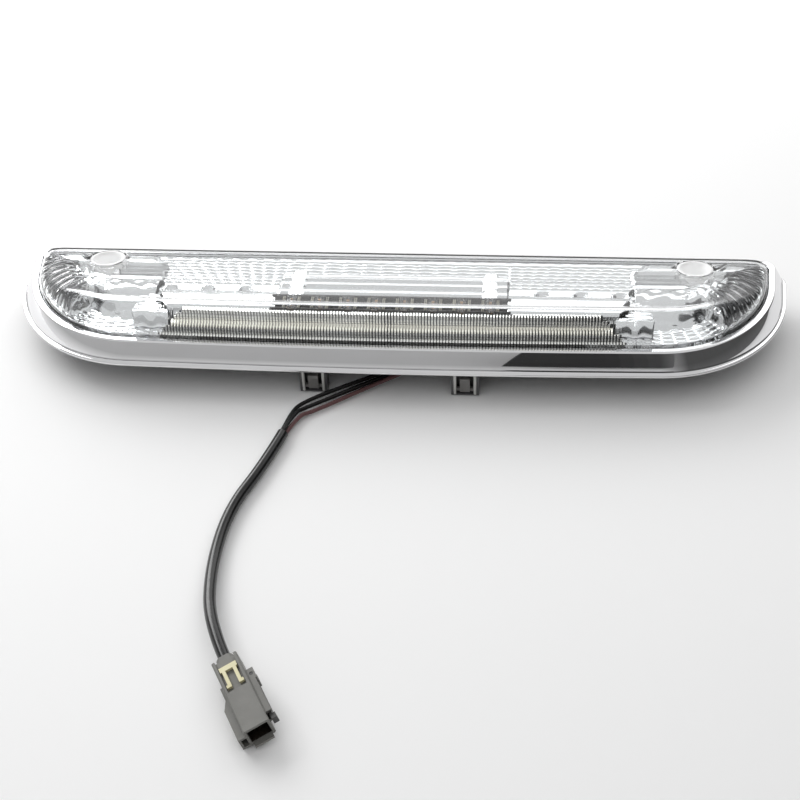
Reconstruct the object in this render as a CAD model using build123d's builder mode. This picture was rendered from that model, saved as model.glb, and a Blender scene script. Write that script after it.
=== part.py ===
"""Third brake light for the rear wall of a pickup cab, with cargo lamps and its wiring pigtail.

The lamp lies on its back: +Z out of the lens, +X along the lamp, +Y towards the edge that is uppermost when it is
mounted. The origin is under the middle of the lamp, on the surface that it lies on. Millimetres throughout.
"""

import os
from math import asin, cos, radians, sin, tan

from build123d import *

# ---- Lamp: driving dimensions -------------------------------------------------------------------------------
LAMP_LENGTH = 440.0        # over the bezel's lip, at the far corners
NEAR_Y = -47.0             # the bowed near edge of the lip, at the middle
FAR_Y = 47.0               # the straight far edge of the lip
BOW_RADIUS = 5000.0        # the near edge is bowed very slightly
BOW_HALF = 145.0           # half the length of that bowed edge
CORNER_RADIUS = 76.0       # the two large near corners
CORNER_END = 84.0          # heading at which a corner runs into its straight side
FAR_CORNER_RADIUS = 8.0

LIP_Z = 16.0               # underside of the bezel's lip and of the housing's plate
LIP_THICK = 1.6
BEZEL_WALL = 2.2           # measured level; the sloping band itself comes out thinner
LEDGE_Z = 27.6             # top of the bezel, beside the lens
LEDGE_INSET = 8.0          # how far in from the lip the ledge starts
LEDGE_THICK = 1.8
BEZEL_OPENING = 11.2       # where the ledge stops, beside the lens

LENS_INSET = 11.5          # outer face of the lens, in from the lip
LENS_WALL = 2.5
LENS_FOOT_Z = 19.4
LENS_DRAFT = 10.0          # how far the lens wall leans in between LEDGE_Z and LENS_TOP_Z
LENS_TOP_Z = 50.0
FACE_NEAR = (0.0, -26.0, 47.5)    # a point on the lens's sloping face
FACE_TILT = 12.0           # the face falls away towards the far edge
END_Z = 31.0               # the slope at each end starts at this height on the outline
END_TILT = 22.0
CROWN_RADIUS = 8.0         # the rounding along the lens's high near edge: its radius, its centre in Y and Z, and
CROWN_CENTRE = (-21.9, 38.4)    # the tilts of the three flats that it is made of
CROWN_TILTS = (46.5, 27.0, 7.5)

SCREW_X = 166.0            # the two mounting screws, each at the foot of a clear well
SCREW_Y = 26.0
SCREW_HOLE_R = 3.0
WELL_R = 8.0
WELL_WALL = 2.0
WELL_GLUE = 0.05           # film of cement between a well and the lens
WELL_FLOOR_Z = 20.0
WELL_FLOOR = 2.5
SLEEVE_R = 4.0
BOSS_R = 8.0
SEAT_Z = 12.0              # the mounting bosses stand on the cab's panel at this height
GASKET_Z = 11.0

PLATE_THICK = 2.2
PLATE_TOP = LIP_Z + PLATE_THICK
GROOVE_RIBS = ((9.4, 11.1, 23.0), (14.5, 16.0, 22.0))    # outer inset, inner inset and top of each rib

COVER_LENGTH = 300.0       # the wiring cover under the plate
COVER_WIDTH = 42.0
COVER_Y = 13.0
COVER_WALL = 2.2
COVER_SCREW_X = 140.0
COVER_SCREW_Y = 15.0
GROMMET_X = 14.0
GROMMET_Z = 6.4
VENT_X = -90.0

FOOT_X = 41.2              # the two feet on the near edge
FOOT_WIDTH = 15.0
FOOT_Y = (-44.0, -36.8)
FOOT_RIB = 2.4
FOOT_BRIDGE = 1.2
TONGUE_WIDTH = 5.4
TONGUE_PIVOT = (-42.2, 3.4)
TONGUE_PIN_R = 1.2
RUNNING_FIT = 0.05

BOARD_Z = 20.2
BOARD_THICK = 1.6
BOARD_TOP = BOARD_Z + BOARD_THICK
POST_R = 2.4
BOARD_SCREW_R = 1.1
BRAKE_BOARD = (124.0, 17.0)
BRAKE_BOARD_Y = -20.5
CARGO_BOARD = (64.0, 12.0)
CARGO_BOARD_CENTRE = (103.0, -11.0)
CARGO_POST_X = 28.0        # a cargo board's two screws, either side of its middle
LED_COUNT = 8
LED_PITCH = 15.4
CARGO_LED_COUNT = 3
CARGO_LED_PITCH = 21.0

CELL = 21.0                # optic cells along the lamp
STEP = 4.6                 # optic steps up the face
REFLECTOR_DROP = 8.5       # reflectors, below the lens's face
SHEET = 1.4
CENTRE_CELLS = 6
CARGO_CELLS = 4
CARGO_START = 66.0
TRIM_X = (69.0, 140.0)     # each flat panel between the near edge's flutes and a cargo lamp

# ---- Pigtail: driving dimensions ----------------------------------------------------------------------------
WIRE_DIA = 2.2
SHEATH_DIA = 6.0
PLUG_HEADING = 29.0        # the connector points this far to the right of straight towards the near side
PLUG_ROLL = 14.0           # and lies with its right-hand side raised
PLUG_CENTRE = (-46.8, -256.6, 7.9)
PLUG_LENGTH = 41.0
PLUG_WIDTH = 12.4
PLUG_HEIGHT = 11.0
MOUTH = (10.0, 8.2, 16.0)
BLADE_PITCH = 3.0


# ---- Shapes that several pieces share -----------------------------------------------------------------------
def far_edge(inset):
    """Y of an outline's far edge. The bezel hardly steps in on that side, and the lens steps in fully."""
    return min(FAR_Y - 0.1 * inset, FAR_Y + 8.1 - inset)


def outline(inset, far=None):
    """The lamp's D-shaped outline, shrunk by inset along its near edge and its sides."""
    far = far_edge(inset) if far is None else far
    bow_end = asin(BOW_HALF / BOW_RADIUS)
    side = radians(CORNER_END)
    centre_x = BOW_HALF - CORNER_RADIUS * sin(bow_end)
    centre_y = NEAR_Y + BOW_RADIUS - (BOW_RADIUS - CORNER_RADIUS) * cos(bow_end)
    radius = CORNER_RADIUS - inset

    def on_corner(heading):
        return centre_x + radius * sin(heading), centre_y - radius * cos(heading)

    start, middle, end = (on_corner(a) for a in (bow_end, (bow_end + side) / 2, side))
    corner = (end[0] + (far - end[1]) / tan(side), far)
    with BuildSketch() as shape:
        with BuildLine():
            ThreePointArc((-start[0], start[1]), (0, NEAR_Y + inset), start)
            ThreePointArc(start, middle, end)
            Polyline(end, corner, (-corner[0], corner[1]), (-end[0], end[1]))
            ThreePointArc((-end[0], end[1]), (-middle[0], middle[1]), (-start[0], start[1]))
        make_face()
        fillet(vertices().group_by(Axis.Y)[-1], max(1.0, FAR_CORNER_RADIUS - 0.3 * inset))
    return shape.sketch


def face_z(y, drop=0.0):
    """Height of the lens's face at y, or of a surface that far below it."""
    return FACE_NEAR[2] - (y - FACE_NEAR[1]) * tan(radians(FACE_TILT)) - drop


def lens_form(skin):
    """The lens as a solid shape, shrunk by skin: leaning walls, a sloping face and a slope down to each end."""
    inset = LENS_INSET + skin
    face = Plane(origin=FACE_NEAR, x_dir=(1, 0, 0), z_dir=(0, sin(radians(FACE_TILT)), cos(radians(FACE_TILT))))
    with BuildPart() as form:
        with BuildSketch(Plane.XY.offset(LENS_FOOT_Z - skin)):
            add(outline(inset))
        extrude(amount=LEDGE_Z - LENS_FOOT_Z + skin)
        with BuildSketch(Plane.XY.offset(LEDGE_Z)):
            add(outline(inset))
        with BuildSketch(Plane.XY.offset(LENS_TOP_Z)):
            add(outline(inset + LENS_DRAFT))
        loft()
        split(bisect_by=face.offset(-skin), keep=Keep.BOTTOM)
        for tilt in CROWN_TILTS:
            lean = (0, -sin(radians(tilt)), cos(radians(tilt)))
            crown = Plane(origin=(0, *CROWN_CENTRE), x_dir=(1, 0, 0), z_dir=lean).offset(CROWN_RADIUS - skin)
            split(bisect_by=crown, keep=Keep.BOTTOM)
        for side in (-1, 1):
            end = Plane(
                origin=(side * (LAMP_LENGTH / 2 - LENS_INSET), 0, END_Z),
                x_dir=(0, 1, 0),
                z_dir=(side * sin(radians(END_TILT)), 0, cos(radians(END_TILT))),
            )
            split(bisect_by=end.offset(-skin), keep=Keep.BOTTOM)
    return form.part


def ring(outer, inner, outer_far=None):
    """A sketch of the band between two outlines."""
    with BuildSketch() as shape:
        add(outline(outer, outer_far))
        add(outline(inner), mode=Mode.SUBTRACT)
    return shape.sketch


def save(piece, name):
    """Labels a finished piece and writes its STEP file."""
    piece.part.label = name
    export_step(piece.part, f"parts/{name}.step")
    print(name, round(piece.part.volume), piece.part.is_valid, len(piece.part.solids()))


os.makedirs("parts", exist_ok=True)
SCREWS = [(-SCREW_X, SCREW_Y), (SCREW_X, SCREW_Y)]
LED_XS = [(i - (LED_COUNT - 1) / 2) * LED_PITCH for i in range(LED_COUNT)]
BRAKE_POSTS = [(x, BRAKE_BOARD_Y + 5.4) for x in (-55, -12, 12, 55)]
CARGO_POSTS = [
    (side * (CARGO_BOARD_CENTRE[0] + dx), CARGO_BOARD_CENTRE[1]) for side in (-1, 1) for dx in (-CARGO_POST_X, CARGO_POST_X)
]

# ---- Outer lens ---------------------------------------------------------------------------------------------
with BuildPart() as outer_lens:
    add(lens_form(0))
    add(lens_form(LENS_WALL), mode=Mode.SUBTRACT)
    with BuildSketch(Plane.XY.offset(WELL_FLOOR_Z)):
        with Locations(*SCREWS):
            Circle(WELL_R + WELL_WALL + WELL_GLUE)
    extrude(amount=LENS_TOP_Z, mode=Mode.SUBTRACT)
save(outer_lens, "outer_lens")

# ---- Screw wells: clear cups, cemented into the lens --------------------------------------------------------
with BuildPart() as screw_wells:
    with BuildSketch(Plane.XY.offset(WELL_FLOOR_Z)):
        with Locations(*SCREWS):
            Circle(WELL_R + WELL_WALL)
    extrude(amount=LENS_TOP_Z - WELL_FLOOR_Z)
    add(lens_form(0), mode=Mode.INTERSECT)
    with BuildSketch(Plane.XY.offset(WELL_FLOOR_Z + WELL_FLOOR)):
        with Locations(*SCREWS):
            Circle(WELL_R)
    extrude(amount=LENS_TOP_Z, mode=Mode.SUBTRACT)
    with BuildSketch(Plane.XY):
        with Locations(*SCREWS):
            Circle(SCREW_HOLE_R)
    extrude(amount=LENS_TOP_Z, mode=Mode.SUBTRACT)
save(screw_wells, "screw_wells")

# ---- Chrome bezel -------------------------------------------------------------------------------------------
slope = LEDGE_INSET / (LEDGE_Z - LIP_Z - LIP_THICK)
inner_top = LEDGE_Z - LEDGE_THICK
inner_inset = BEZEL_WALL + slope * (inner_top - LIP_Z - LIP_THICK)
with BuildPart() as chrome_bezel:
    with BuildSketch(Plane.XY.offset(LIP_Z)):
        add(outline(0))
    extrude(amount=LIP_THICK)
    with BuildSketch(Plane.XY.offset(LIP_Z + LIP_THICK)):
        add(outline(0))
    with BuildSketch(Plane.XY.offset(LEDGE_Z)):
        add(outline(LEDGE_INSET))
    loft()
    with BuildSketch(Plane.XY.offset(LIP_Z)):
        add(outline(BEZEL_WALL, FAR_Y - 1.8))
    extrude(amount=PLATE_THICK + 0.1, mode=Mode.SUBTRACT)
    with BuildSketch(Plane.XY.offset(PLATE_TOP + 0.1)):
        add(outline(BEZEL_WALL, FAR_Y - 1.8))
    with BuildSketch(Plane.XY.offset(inner_top)):
        add(outline(inner_inset, FAR_Y - 1.95))
    loft(mode=Mode.SUBTRACT)
    with BuildSketch(Plane.XY.offset(inner_top)):
        add(outline(BEZEL_OPENING))
    extrude(amount=LEDGE_THICK, mode=Mode.SUBTRACT)
save(chrome_bezel, "chrome_bezel")

# ---- Rear housing: plate, groove for the lens, bosses, posts and feet --------------------------------------
foot_depth = FOOT_Y[1] - FOOT_Y[0]
foot_middle = sum(FOOT_Y) / 2
with BuildPart() as rear_housing:
    with BuildSketch(Plane.XY.offset(LIP_Z)):
        add(outline(BEZEL_WALL + 0.15, FAR_Y - 1.95))
    extrude(amount=PLATE_THICK)
    for outer, inner, top in GROOVE_RIBS:
        with BuildSketch(Plane.XY.offset(PLATE_TOP)):
            add(ring(outer, inner, FAR_Y - 1.95 if outer < LENS_INSET else None))
        extrude(amount=top - PLATE_TOP)
    with BuildSketch(Plane.XY.offset(SEAT_Z)):
        with Locations(*SCREWS):
            Circle(BOSS_R)
    extrude(amount=WELL_FLOOR_Z - 0.2 - SEAT_Z)
    with BuildSketch(Plane.XY.offset(PLATE_TOP)):
        with Locations(*BRAKE_POSTS, *CARGO_POSTS):
            Circle(POST_R)
    extrude(amount=BOARD_Z - PLATE_TOP)
    with BuildSketch(Plane.XY):
        with Locations((-FOOT_X, foot_middle), (FOOT_X, foot_middle)):
            Rectangle(FOOT_WIDTH, foot_depth)
    extrude(amount=LIP_Z)
    with BuildSketch(Plane.XY.offset(FOOT_BRIDGE)):
        with Locations((-FOOT_X, foot_middle - FOOT_RIB / 2), (FOOT_X, foot_middle - FOOT_RIB / 2)):
            Rectangle(FOOT_WIDTH - 2 * FOOT_RIB, foot_depth - FOOT_RIB)
    extrude(amount=LIP_Z - FOOT_BRIDGE, mode=Mode.SUBTRACT)
    # holes: screw sleeves, board screws, wiring passage and the feet's pivots
    with BuildSketch(Plane.XY):
        with Locations(*SCREWS):
            Circle(SLEEVE_R)
        with Locations((0, COVER_Y)):
            RectangleRounded(20, 12, 3)
        for x in (-COVER_SCREW_X, COVER_SCREW_X):
            with Locations((x, COVER_Y - COVER_SCREW_Y), (x, COVER_Y + COVER_SCREW_Y)):
                Circle(1.4)
    extrude(amount=LENS_TOP_Z, mode=Mode.SUBTRACT)
    with BuildSketch(Plane.XY.offset(LIP_Z + 0.8)):
        with Locations(*BRAKE_POSTS, *CARGO_POSTS):
            Circle(BOARD_SCREW_R)
    extrude(amount=LENS_TOP_Z, mode=Mode.SUBTRACT)
    with BuildSketch(Plane.YZ):
        with Locations(TONGUE_PIVOT):
            Circle(TONGUE_PIN_R + RUNNING_FIT)
    extrude(amount=FOOT_X + FOOT_WIDTH, both=True, mode=Mode.SUBTRACT)
    foot_tips = edges().filter_by(Axis.X).filter_by_position(Axis.Z, -0.1, 0.1)
    chamfer(foot_tips.filter_by_position(Axis.Y, FOOT_Y[0] - 0.1, FOOT_Y[0] + 0.1), 0.5)
save(rear_housing, "rear_housing")

# ---- Snap tongues: one pivots in each foot, and its free end catches behind the panel ----------------------
pivot_y, pivot_z = TONGUE_PIVOT
for name, x in (("snap_tongue_left", -FOOT_X), ("snap_tongue_right", FOOT_X)):
    with BuildPart() as snap_tongue:
        with BuildSketch(Plane.YZ.offset(x)):
            with Locations(TONGUE_PIVOT):
                Circle(1.9)
            with BuildLine():
                Polyline(
                    (pivot_y - 1.9, pivot_z),
                    (pivot_y - 3.0, 10.6),
                    (pivot_y - 2.4, 12.0),
                    (pivot_y - 0.4, 12.0),
                    (pivot_y + 0.6, 5.0),
                    (pivot_y + 1.2, pivot_z),
                    close=True,
                )
            make_face()
        extrude(amount=TONGUE_WIDTH / 2, both=True)
        with BuildSketch(Plane.YZ.offset(x)):
            with Locations(TONGUE_PIVOT):
                Circle(TONGUE_PIN_R)
        extrude(amount=FOOT_WIDTH / 2 - 0.2, both=True)
    save(snap_tongue, name)

# ---- Sealing and fixing -------------------------------------------------------------------------------------
with BuildPart() as lens_sealant:
    with BuildSketch(Plane.XY.offset(PLATE_TOP)):
        add(ring(GROOVE_RIBS[0][1], GROOVE_RIBS[1][0]))
    extrude(amount=LENS_FOOT_Z - PLATE_TOP)
save(lens_sealant, "lens_sealant")

with BuildPart() as gasket_foam:
    with BuildSketch(Plane.XY.offset(GASKET_Z)):
        with Locations((0, COVER_Y)):
            RectangleRounded(COVER_LENGTH + 14, COVER_WIDTH + 14, 10)
            RectangleRounded(COVER_LENGTH + 5, COVER_WIDTH + 5, 6, mode=Mode.SUBTRACT)
    extrude(amount=LIP_Z - GASKET_Z)
save(gasket_foam, "gasket_foam")

with BuildPart() as screw_sleeves:
    with BuildSketch(Plane.XY.offset(SEAT_Z)):
        with Locations(*SCREWS):
            Circle(SLEEVE_R)
            Circle(SCREW_HOLE_R, mode=Mode.SUBTRACT)
    extrude(amount=WELL_FLOOR_Z - SEAT_Z)
save(screw_sleeves, "screw_sleeves")

# ---- Wiring cover with its screws, grommet and vent --------------------------------------------------------
cover_near = COVER_Y - COVER_WIDTH / 2
cover_screws = [(x, COVER_Y + y) for x in (-COVER_SCREW_X, COVER_SCREW_X) for y in (-COVER_SCREW_Y, COVER_SCREW_Y)]
with BuildPart() as wiring_cover:
    with BuildSketch():
        with Locations((0, COVER_Y)):
            RectangleRounded(COVER_LENGTH, COVER_WIDTH, 5)
    extrude(amount=LIP_Z)
    with BuildSketch(Plane.XY.offset(COVER_WALL)):
        with Locations((0, COVER_Y)):
            RectangleRounded(COVER_LENGTH - 2 * COVER_WALL, COVER_WIDTH - 2 * COVER_WALL, 3)
    extrude(amount=LIP_Z, mode=Mode.SUBTRACT)
    with BuildSketch(Plane.XY):
        with Locations(*cover_screws):
            Circle(3.4)
    extrude(amount=LIP_Z)
    with BuildSketch(Plane.XY.offset(1.6)):
        with Locations(*cover_screws):
            Circle(1.5)
    extrude(amount=LIP_Z, mode=Mode.SUBTRACT)
    with BuildSketch(Plane.XY):
        with Locations(*cover_screws):
            Circle(2.8)
        with Locations((VENT_X, COVER_Y)):
            Circle(4)
    extrude(amount=1.6, mode=Mode.SUBTRACT)
    with BuildSketch(Plane.XY):
        with Locations((VENT_X, COVER_Y)):
            Circle(1.5)
    extrude(amount=COVER_WALL, mode=Mode.SUBTRACT)
    with BuildSketch(Plane.XZ.offset(-cover_near - COVER_WALL)):
        with Locations((GROMMET_X, GROMMET_Z)):
            SlotOverall(14, 6.4)
    extrude(amount=COVER_WALL, mode=Mode.SUBTRACT)
    foot_ring = faces().sort_by(Axis.Z)[0].outer_wire().edges()
    chamfer(foot_ring, 0.6)
save(wiring_cover, "wiring_cover")

with BuildPart() as cover_screw_set:
    with BuildSketch(Plane.XY.offset(0.2)):
        with Locations(*cover_screws):
            Circle(2.7)
    extrude(amount=1.4)
    with BuildSketch(Plane.XY.offset(1.6)):
        with Locations(*cover_screws):
            Circle(1.4)
    extrude(amount=PLATE_TOP - 1.6)
    with BuildSketch(Plane.XY.offset(0.2)):
        for x, y in cover_screws:
            with Locations((x, y)):
                Rectangle(3.2, 0.6)
                Rectangle(0.6, 3.2)
    extrude(amount=0.7, mode=Mode.SUBTRACT)
save(cover_screw_set, "cover_screws")

with BuildPart() as vent_cap:
    with BuildSketch(Plane.XY.offset(0.3)):
        with Locations((VENT_X, COVER_Y)):
            Circle(3.9)
    extrude(amount=1.3)
save(vent_cap, "vent_cap")

with BuildPart() as wire_grommet:
    with BuildSketch(Plane.XZ.offset(-cover_near - COVER_WALL - 1.5)):
        with Locations((GROMMET_X, GROMMET_Z)):
            SlotOverall(14, 6.4)
    extrude(amount=COVER_WALL + 1.5)
    with BuildSketch(Plane.XZ.offset(-cover_near)):
        with Locations((GROMMET_X, GROMMET_Z)):
            SlotOverall(16.4, 8.8)
    extrude(amount=1.6)
    fillet(faces().sort_by(Axis.Y)[0].outer_wire().edges(), 0.5)
save(wire_grommet, "wire_grommet")

# ---- Boards, lights and their screws ------------------------------------------------------------------------
with BuildPart() as brake_board:
    with BuildSketch(Plane.XY.offset(BOARD_Z)):
        with Locations((0, BRAKE_BOARD_Y)):
            RectangleRounded(*BRAKE_BOARD, 1.5)
        with Locations(*BRAKE_POSTS):
            Circle(1.3, mode=Mode.SUBTRACT)
    extrude(amount=BOARD_THICK)
save(brake_board, "brake_board")

with BuildPart() as brake_leds:
    with BuildSketch(Plane.XY.offset(BOARD_TOP)):
        with Locations(*[(x, BRAKE_BOARD_Y) for x in LED_XS]):
            Rectangle(4.2, 4.2)
    extrude(amount=1.0)
    with Locations(*[(x, BRAKE_BOARD_Y, BOARD_TOP + 1.0) for x in LED_XS]):
        Sphere(1.5, arc_size1=0)
save(brake_leds, "brake_leds")

with BuildPart() as board_resistors:
    with BuildSketch(Plane.XY.offset(BOARD_TOP)):
        with Locations(*[((i - 3) * LED_PITCH, BRAKE_BOARD_Y - 5.6) for i in range(7)]):
            Rectangle(3.2, 1.6)
    extrude(amount=0.7)
save(board_resistors, "board_resistors")

for side, name in ((-1, "left"), (1, "right")):
    centre = (side * CARGO_BOARD_CENTRE[0], CARGO_BOARD_CENTRE[1])
    with BuildPart() as cargo_board:
        with BuildSketch(Plane.XY.offset(BOARD_Z)):
            with Locations(centre):
                RectangleRounded(*CARGO_BOARD, 1.5)
                with GridLocations(2 * CARGO_POST_X, 1, 2, 1):
                    Circle(1.3, mode=Mode.SUBTRACT)
        extrude(amount=BOARD_THICK)
    save(cargo_board, f"cargo_board_{name}")
    with BuildPart() as cargo_leds:
        with BuildSketch(Plane.XY.offset(BOARD_TOP)):
            with Locations(centre):
                with GridLocations(CARGO_LED_PITCH, 1, CARGO_LED_COUNT, 1):
                    Rectangle(5, 5)
        extrude(amount=1.2)
        with BuildSketch(Plane.XY.offset(BOARD_TOP + 1.2)):
            with Locations(centre):
                with GridLocations(CARGO_LED_PITCH, 1, CARGO_LED_COUNT, 1):
                    Circle(2.1)
        extrude(amount=0.6)
    save(cargo_leds, f"cargo_leds_{name}")

with BuildPart() as board_screws:
    with BuildSketch(Plane.XY.offset(LIP_Z + 1.0)):
        with Locations(*BRAKE_POSTS, *CARGO_POSTS):
            Circle(BOARD_SCREW_R)
    extrude(amount=BOARD_TOP - LIP_Z - 1.0)
    with BuildSketch(Plane.XY.offset(BOARD_TOP)):
        with Locations(*BRAKE_POSTS, *CARGO_POSTS):
            Circle(2.1)
    extrude(amount=1.2)
    fillet(faces().group_by(Axis.Z)[-1].edges(), 0.5)
save(board_screws, "board_screws")

with BuildPart() as jumper_wires:
    for side in (-1, 1):
        for lane in (-1.8, 1.8):
            with BuildLine() as jumper:
                Spline(
                    (side * 61, BRAKE_BOARD_Y - 5.5 + lane / 2, BOARD_TOP + 0.7),
                    (side * 68, -24.6 + lane, BOARD_TOP + 2.6),
                    (side * 77, -15.2 + lane / 2, BOARD_TOP + 0.7),
                    tangents=((side, 0, 0), (side, 0, 0)),
                )
            with BuildSketch(Plane(origin=jumper.line @ 0, z_dir=jumper.line % 0)):
                Circle(0.6)
            sweep(path=jumper.line)
save(jumper_wires, "jumper_wires")

# ---- Light pipes and their dark mask, in front of the brake lights ------------------------------------------
with BuildPart() as light_pipes:
    with BuildSketch(Plane.XY.offset(BOARD_TOP + 2.8)):
        with Locations(*[(x, BRAKE_BOARD_Y) for x in LED_XS]):
            Circle(2.6)
    extrude(amount=16.6)
    with BuildSketch(Plane.XY.offset(30)):
        with Locations((0, BRAKE_BOARD_Y)):
            Rectangle(130, 4)
    extrude(amount=1.6)
    with BuildSketch(Plane.XY.offset(PLATE_TOP)):
        with Locations((-64, BRAKE_BOARD_Y), (64, BRAKE_BOARD_Y)):
            Rectangle(2.4, 4)
    extrude(amount=13.4)
save(light_pipes, "light_pipes")

with BuildPart() as pipe_mask:
    with BuildSketch(Plane.XY.offset(38.4)):
        with Locations((0, BRAKE_BOARD_Y)):
            Rectangle(130, 7)
        with Locations(*[(x, BRAKE_BOARD_Y) for x in LED_XS]):
            Circle(2.9, mode=Mode.SUBTRACT)
    extrude(amount=2)
    with BuildSketch(Plane.XY.offset(31.6)):
        with Locations((-64, BRAKE_BOARD_Y), (64, BRAKE_BOARD_Y)):
            Rectangle(2, 4)
    extrude(amount=6.8)
save(pipe_mask, "pipe_mask")


# ---- Reflectors and optics under the face -------------------------------------------------------------------
def stepped_sheet(y_start, y_end, drop):
    """A sheet under the lens's face whose upper side climbs in optic steps, in section."""
    steps = int((y_end - y_start) / STEP)
    with BuildSketch() as section:
        with BuildLine():
            top = []
            for i in range(steps):
                low = y_start + i * STEP
                top += [(low, face_z(low, drop)), (low + 0.82 * STEP, face_z(low + 0.82 * STEP, drop - 1.5))]
            end = y_start + steps * STEP
            Polyline(
                *top,
                (end, face_z(end, drop)),
                (end, face_z(end, drop + SHEET)),
                (y_start, face_z(y_start, drop + SHEET)),
                close=True,
            )
        make_face()
    return section.sketch


def plain_sheet(y_start, y_end, drop):
    """The flat back that carries the optic steps, in section."""
    with BuildSketch() as section:
        with BuildLine():
            Polyline(
                (y_start, face_z(y_start, drop)),
                (y_end, face_z(y_end, drop)),
                (y_end, face_z(y_end, drop + SHEET)),
                (y_start, face_z(y_start, drop + SHEET)),
                close=True,
            )
        make_face()
    return section.sketch


def reflector(x_start, cells, y_start, y_end):
    """A reflector: rows of optic cells on a sheet, with a skirt down to the housing at each end."""
    rows = int((y_end - y_start) / STEP)
    end = y_start + rows * STEP
    with BuildPart() as sheet:
        with BuildSketch(Plane.YZ.offset(x_start)):
            add(plain_sheet(y_start, end, REFLECTOR_DROP + 0.6))
        extrude(amount=cells * CELL)
        for i in range(cells):
            with BuildSketch(Plane.YZ.offset(x_start + i * CELL + 0.35)):
                add(stepped_sheet(y_start, end, REFLECTOR_DROP))
            extrude(amount=CELL - 0.7)
        for x in (x_start, x_start + cells * CELL - SHEET):
            with BuildSketch(Plane.YZ.offset(x)):
                with BuildLine():
                    Polyline(
                        (y_start + 4, PLATE_TOP),
                        (end - 4, PLATE_TOP),
                        (end - 4, face_z(end - 4, REFLECTOR_DROP + 1)),
                        (y_start + 4, face_z(y_start + 4, REFLECTOR_DROP + 1)),
                        close=True,
                    )
                make_face()
            extrude(amount=SHEET)
    return sheet.part


with BuildPart() as brake_reflector:
    add(reflector(-CENTRE_CELLS * CELL / 2, CENTRE_CELLS, -3, 37))
save(brake_reflector, "brake_reflector")

for side, name in ((-1, "left"), (1, "right")):
    x_start = CARGO_START if side > 0 else -CARGO_START - CARGO_CELLS * CELL
    with BuildPart() as cargo_reflector:
        add(reflector(x_start, CARGO_CELLS, -3, 37))
    save(cargo_reflector, f"cargo_reflector_{name}")

# ---- Trim inside the ends and along the near edge: plated shells that follow the lens from inside ----------
for side, name in ((-1, "left"), (1, "right")):
    with BuildPart() as end_reflector:
        add(lens_form(4.0))
        add(lens_form(5.2), mode=Mode.SUBTRACT)
        with BuildSketch(Plane.XY.offset(GROOVE_RIBS[1][2])):
            with Locations((side * 184, 0)):
                Rectangle(62, 120)
            with Locations(*SCREWS):
                Circle(WELL_R + WELL_WALL + 0.4, mode=Mode.SUBTRACT)
        extrude(amount=LENS_TOP_Z - GROOVE_RIBS[1][2], mode=Mode.INTERSECT)
    save(end_reflector, f"end_reflector_{name}")
    with BuildPart() as trim_panel:
        with BuildSketch(Plane.YZ.offset(side * TRIM_X[0])):
            add(plain_sheet(-22.5, -17.5, 4.4))
            with BuildLine():
                Polyline((-18.7, 28), (-17.5, 28), (-17.5, face_z(-17.5, 5)), (-18.7, face_z(-18.7, 5)), close=True)
            make_face()
        extrude(amount=side * (TRIM_X[1] - TRIM_X[0]))
        with BuildSketch(Plane.XY.offset(PLATE_TOP)):
            with Locations((side * 90, -18.1), (side * 138, -18.1)):
                Rectangle(3, 1.2)
        extrude(amount=28.5 - PLATE_TOP)
    save(trim_panel, f"trim_panel_{name}")

with BuildPart() as ribbed_optic:
    with BuildSketch(Plane.YZ.offset(-61)):
        add(plain_sheet(-15.5, -4, 7))
        for y in (-14, -9.8, -5.6):
            with Locations((y, face_z(y, 7))):
                Circle(1.5)
    extrude(amount=122)
    for x in (-61, 59):
        with BuildSketch(Plane.YZ.offset(x)):
            with BuildLine():
                Polyline(
                    (-11.5, PLATE_TOP), (-5, PLATE_TOP), (-5, face_z(-5, 8)), (-11.5, face_z(-11.5, 8)), close=True
                )
            make_face()
        extrude(amount=2)
save(ribbed_optic, "ribbed_optic")

with BuildPart() as edge_optic:
    with BuildSketch(Plane.XY.offset(26)):
        add(outline(16.4))
    with BuildSketch(Plane.XY.offset(37.5)):
        add(outline(16.4 + 11.5 * LENS_DRAFT / (LENS_TOP_Z - LEDGE_Z)))
    loft()
    with BuildSketch(Plane.XY.offset(26)):
        add(outline(17.8))
    with BuildSketch(Plane.XY.offset(37.5)):
        add(outline(17.8 + 11.5 * LENS_DRAFT / (LENS_TOP_Z - LEDGE_Z)))
    loft(mode=Mode.SUBTRACT)
    with BuildSketch(Plane.XY.offset(26)):
        with Locations((0, NEAR_Y + 20)):
            Rectangle(300, 20)
    extrude(amount=14, mode=Mode.INTERSECT)
    for x in (-130, -72, 72, 130):
        with BuildSketch(Plane.XY.offset(PLATE_TOP)):
            with Locations((x, -28.2)):
                Rectangle(2, 1.4)
        extrude(amount=9)
save(edge_optic, "edge_optic")


# ---- Connector ----------------------------------------------------------------------------------------------
heading = radians(PLUG_HEADING)
roll = radians(PLUG_ROLL)
plug = Plane(
    origin=PLUG_CENTRE,
    x_dir=(cos(heading) * cos(roll), sin(heading) * cos(roll), sin(roll)),
    z_dir=(-cos(heading) * sin(roll), -sin(heading) * sin(roll), cos(roll)),
)
front = -PLUG_LENGTH / 2
back = PLUG_LENGTH / 2
side_x = PLUG_WIDTH / 2
top_z = PLUG_HEIGHT / 2
mouth_end = front + MOUTH[2]
blade_xs = (-BLADE_PITCH, 0, BLADE_PITCH)
low_corner = (Align.MIN, Align.MIN, Align.MIN)

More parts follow.
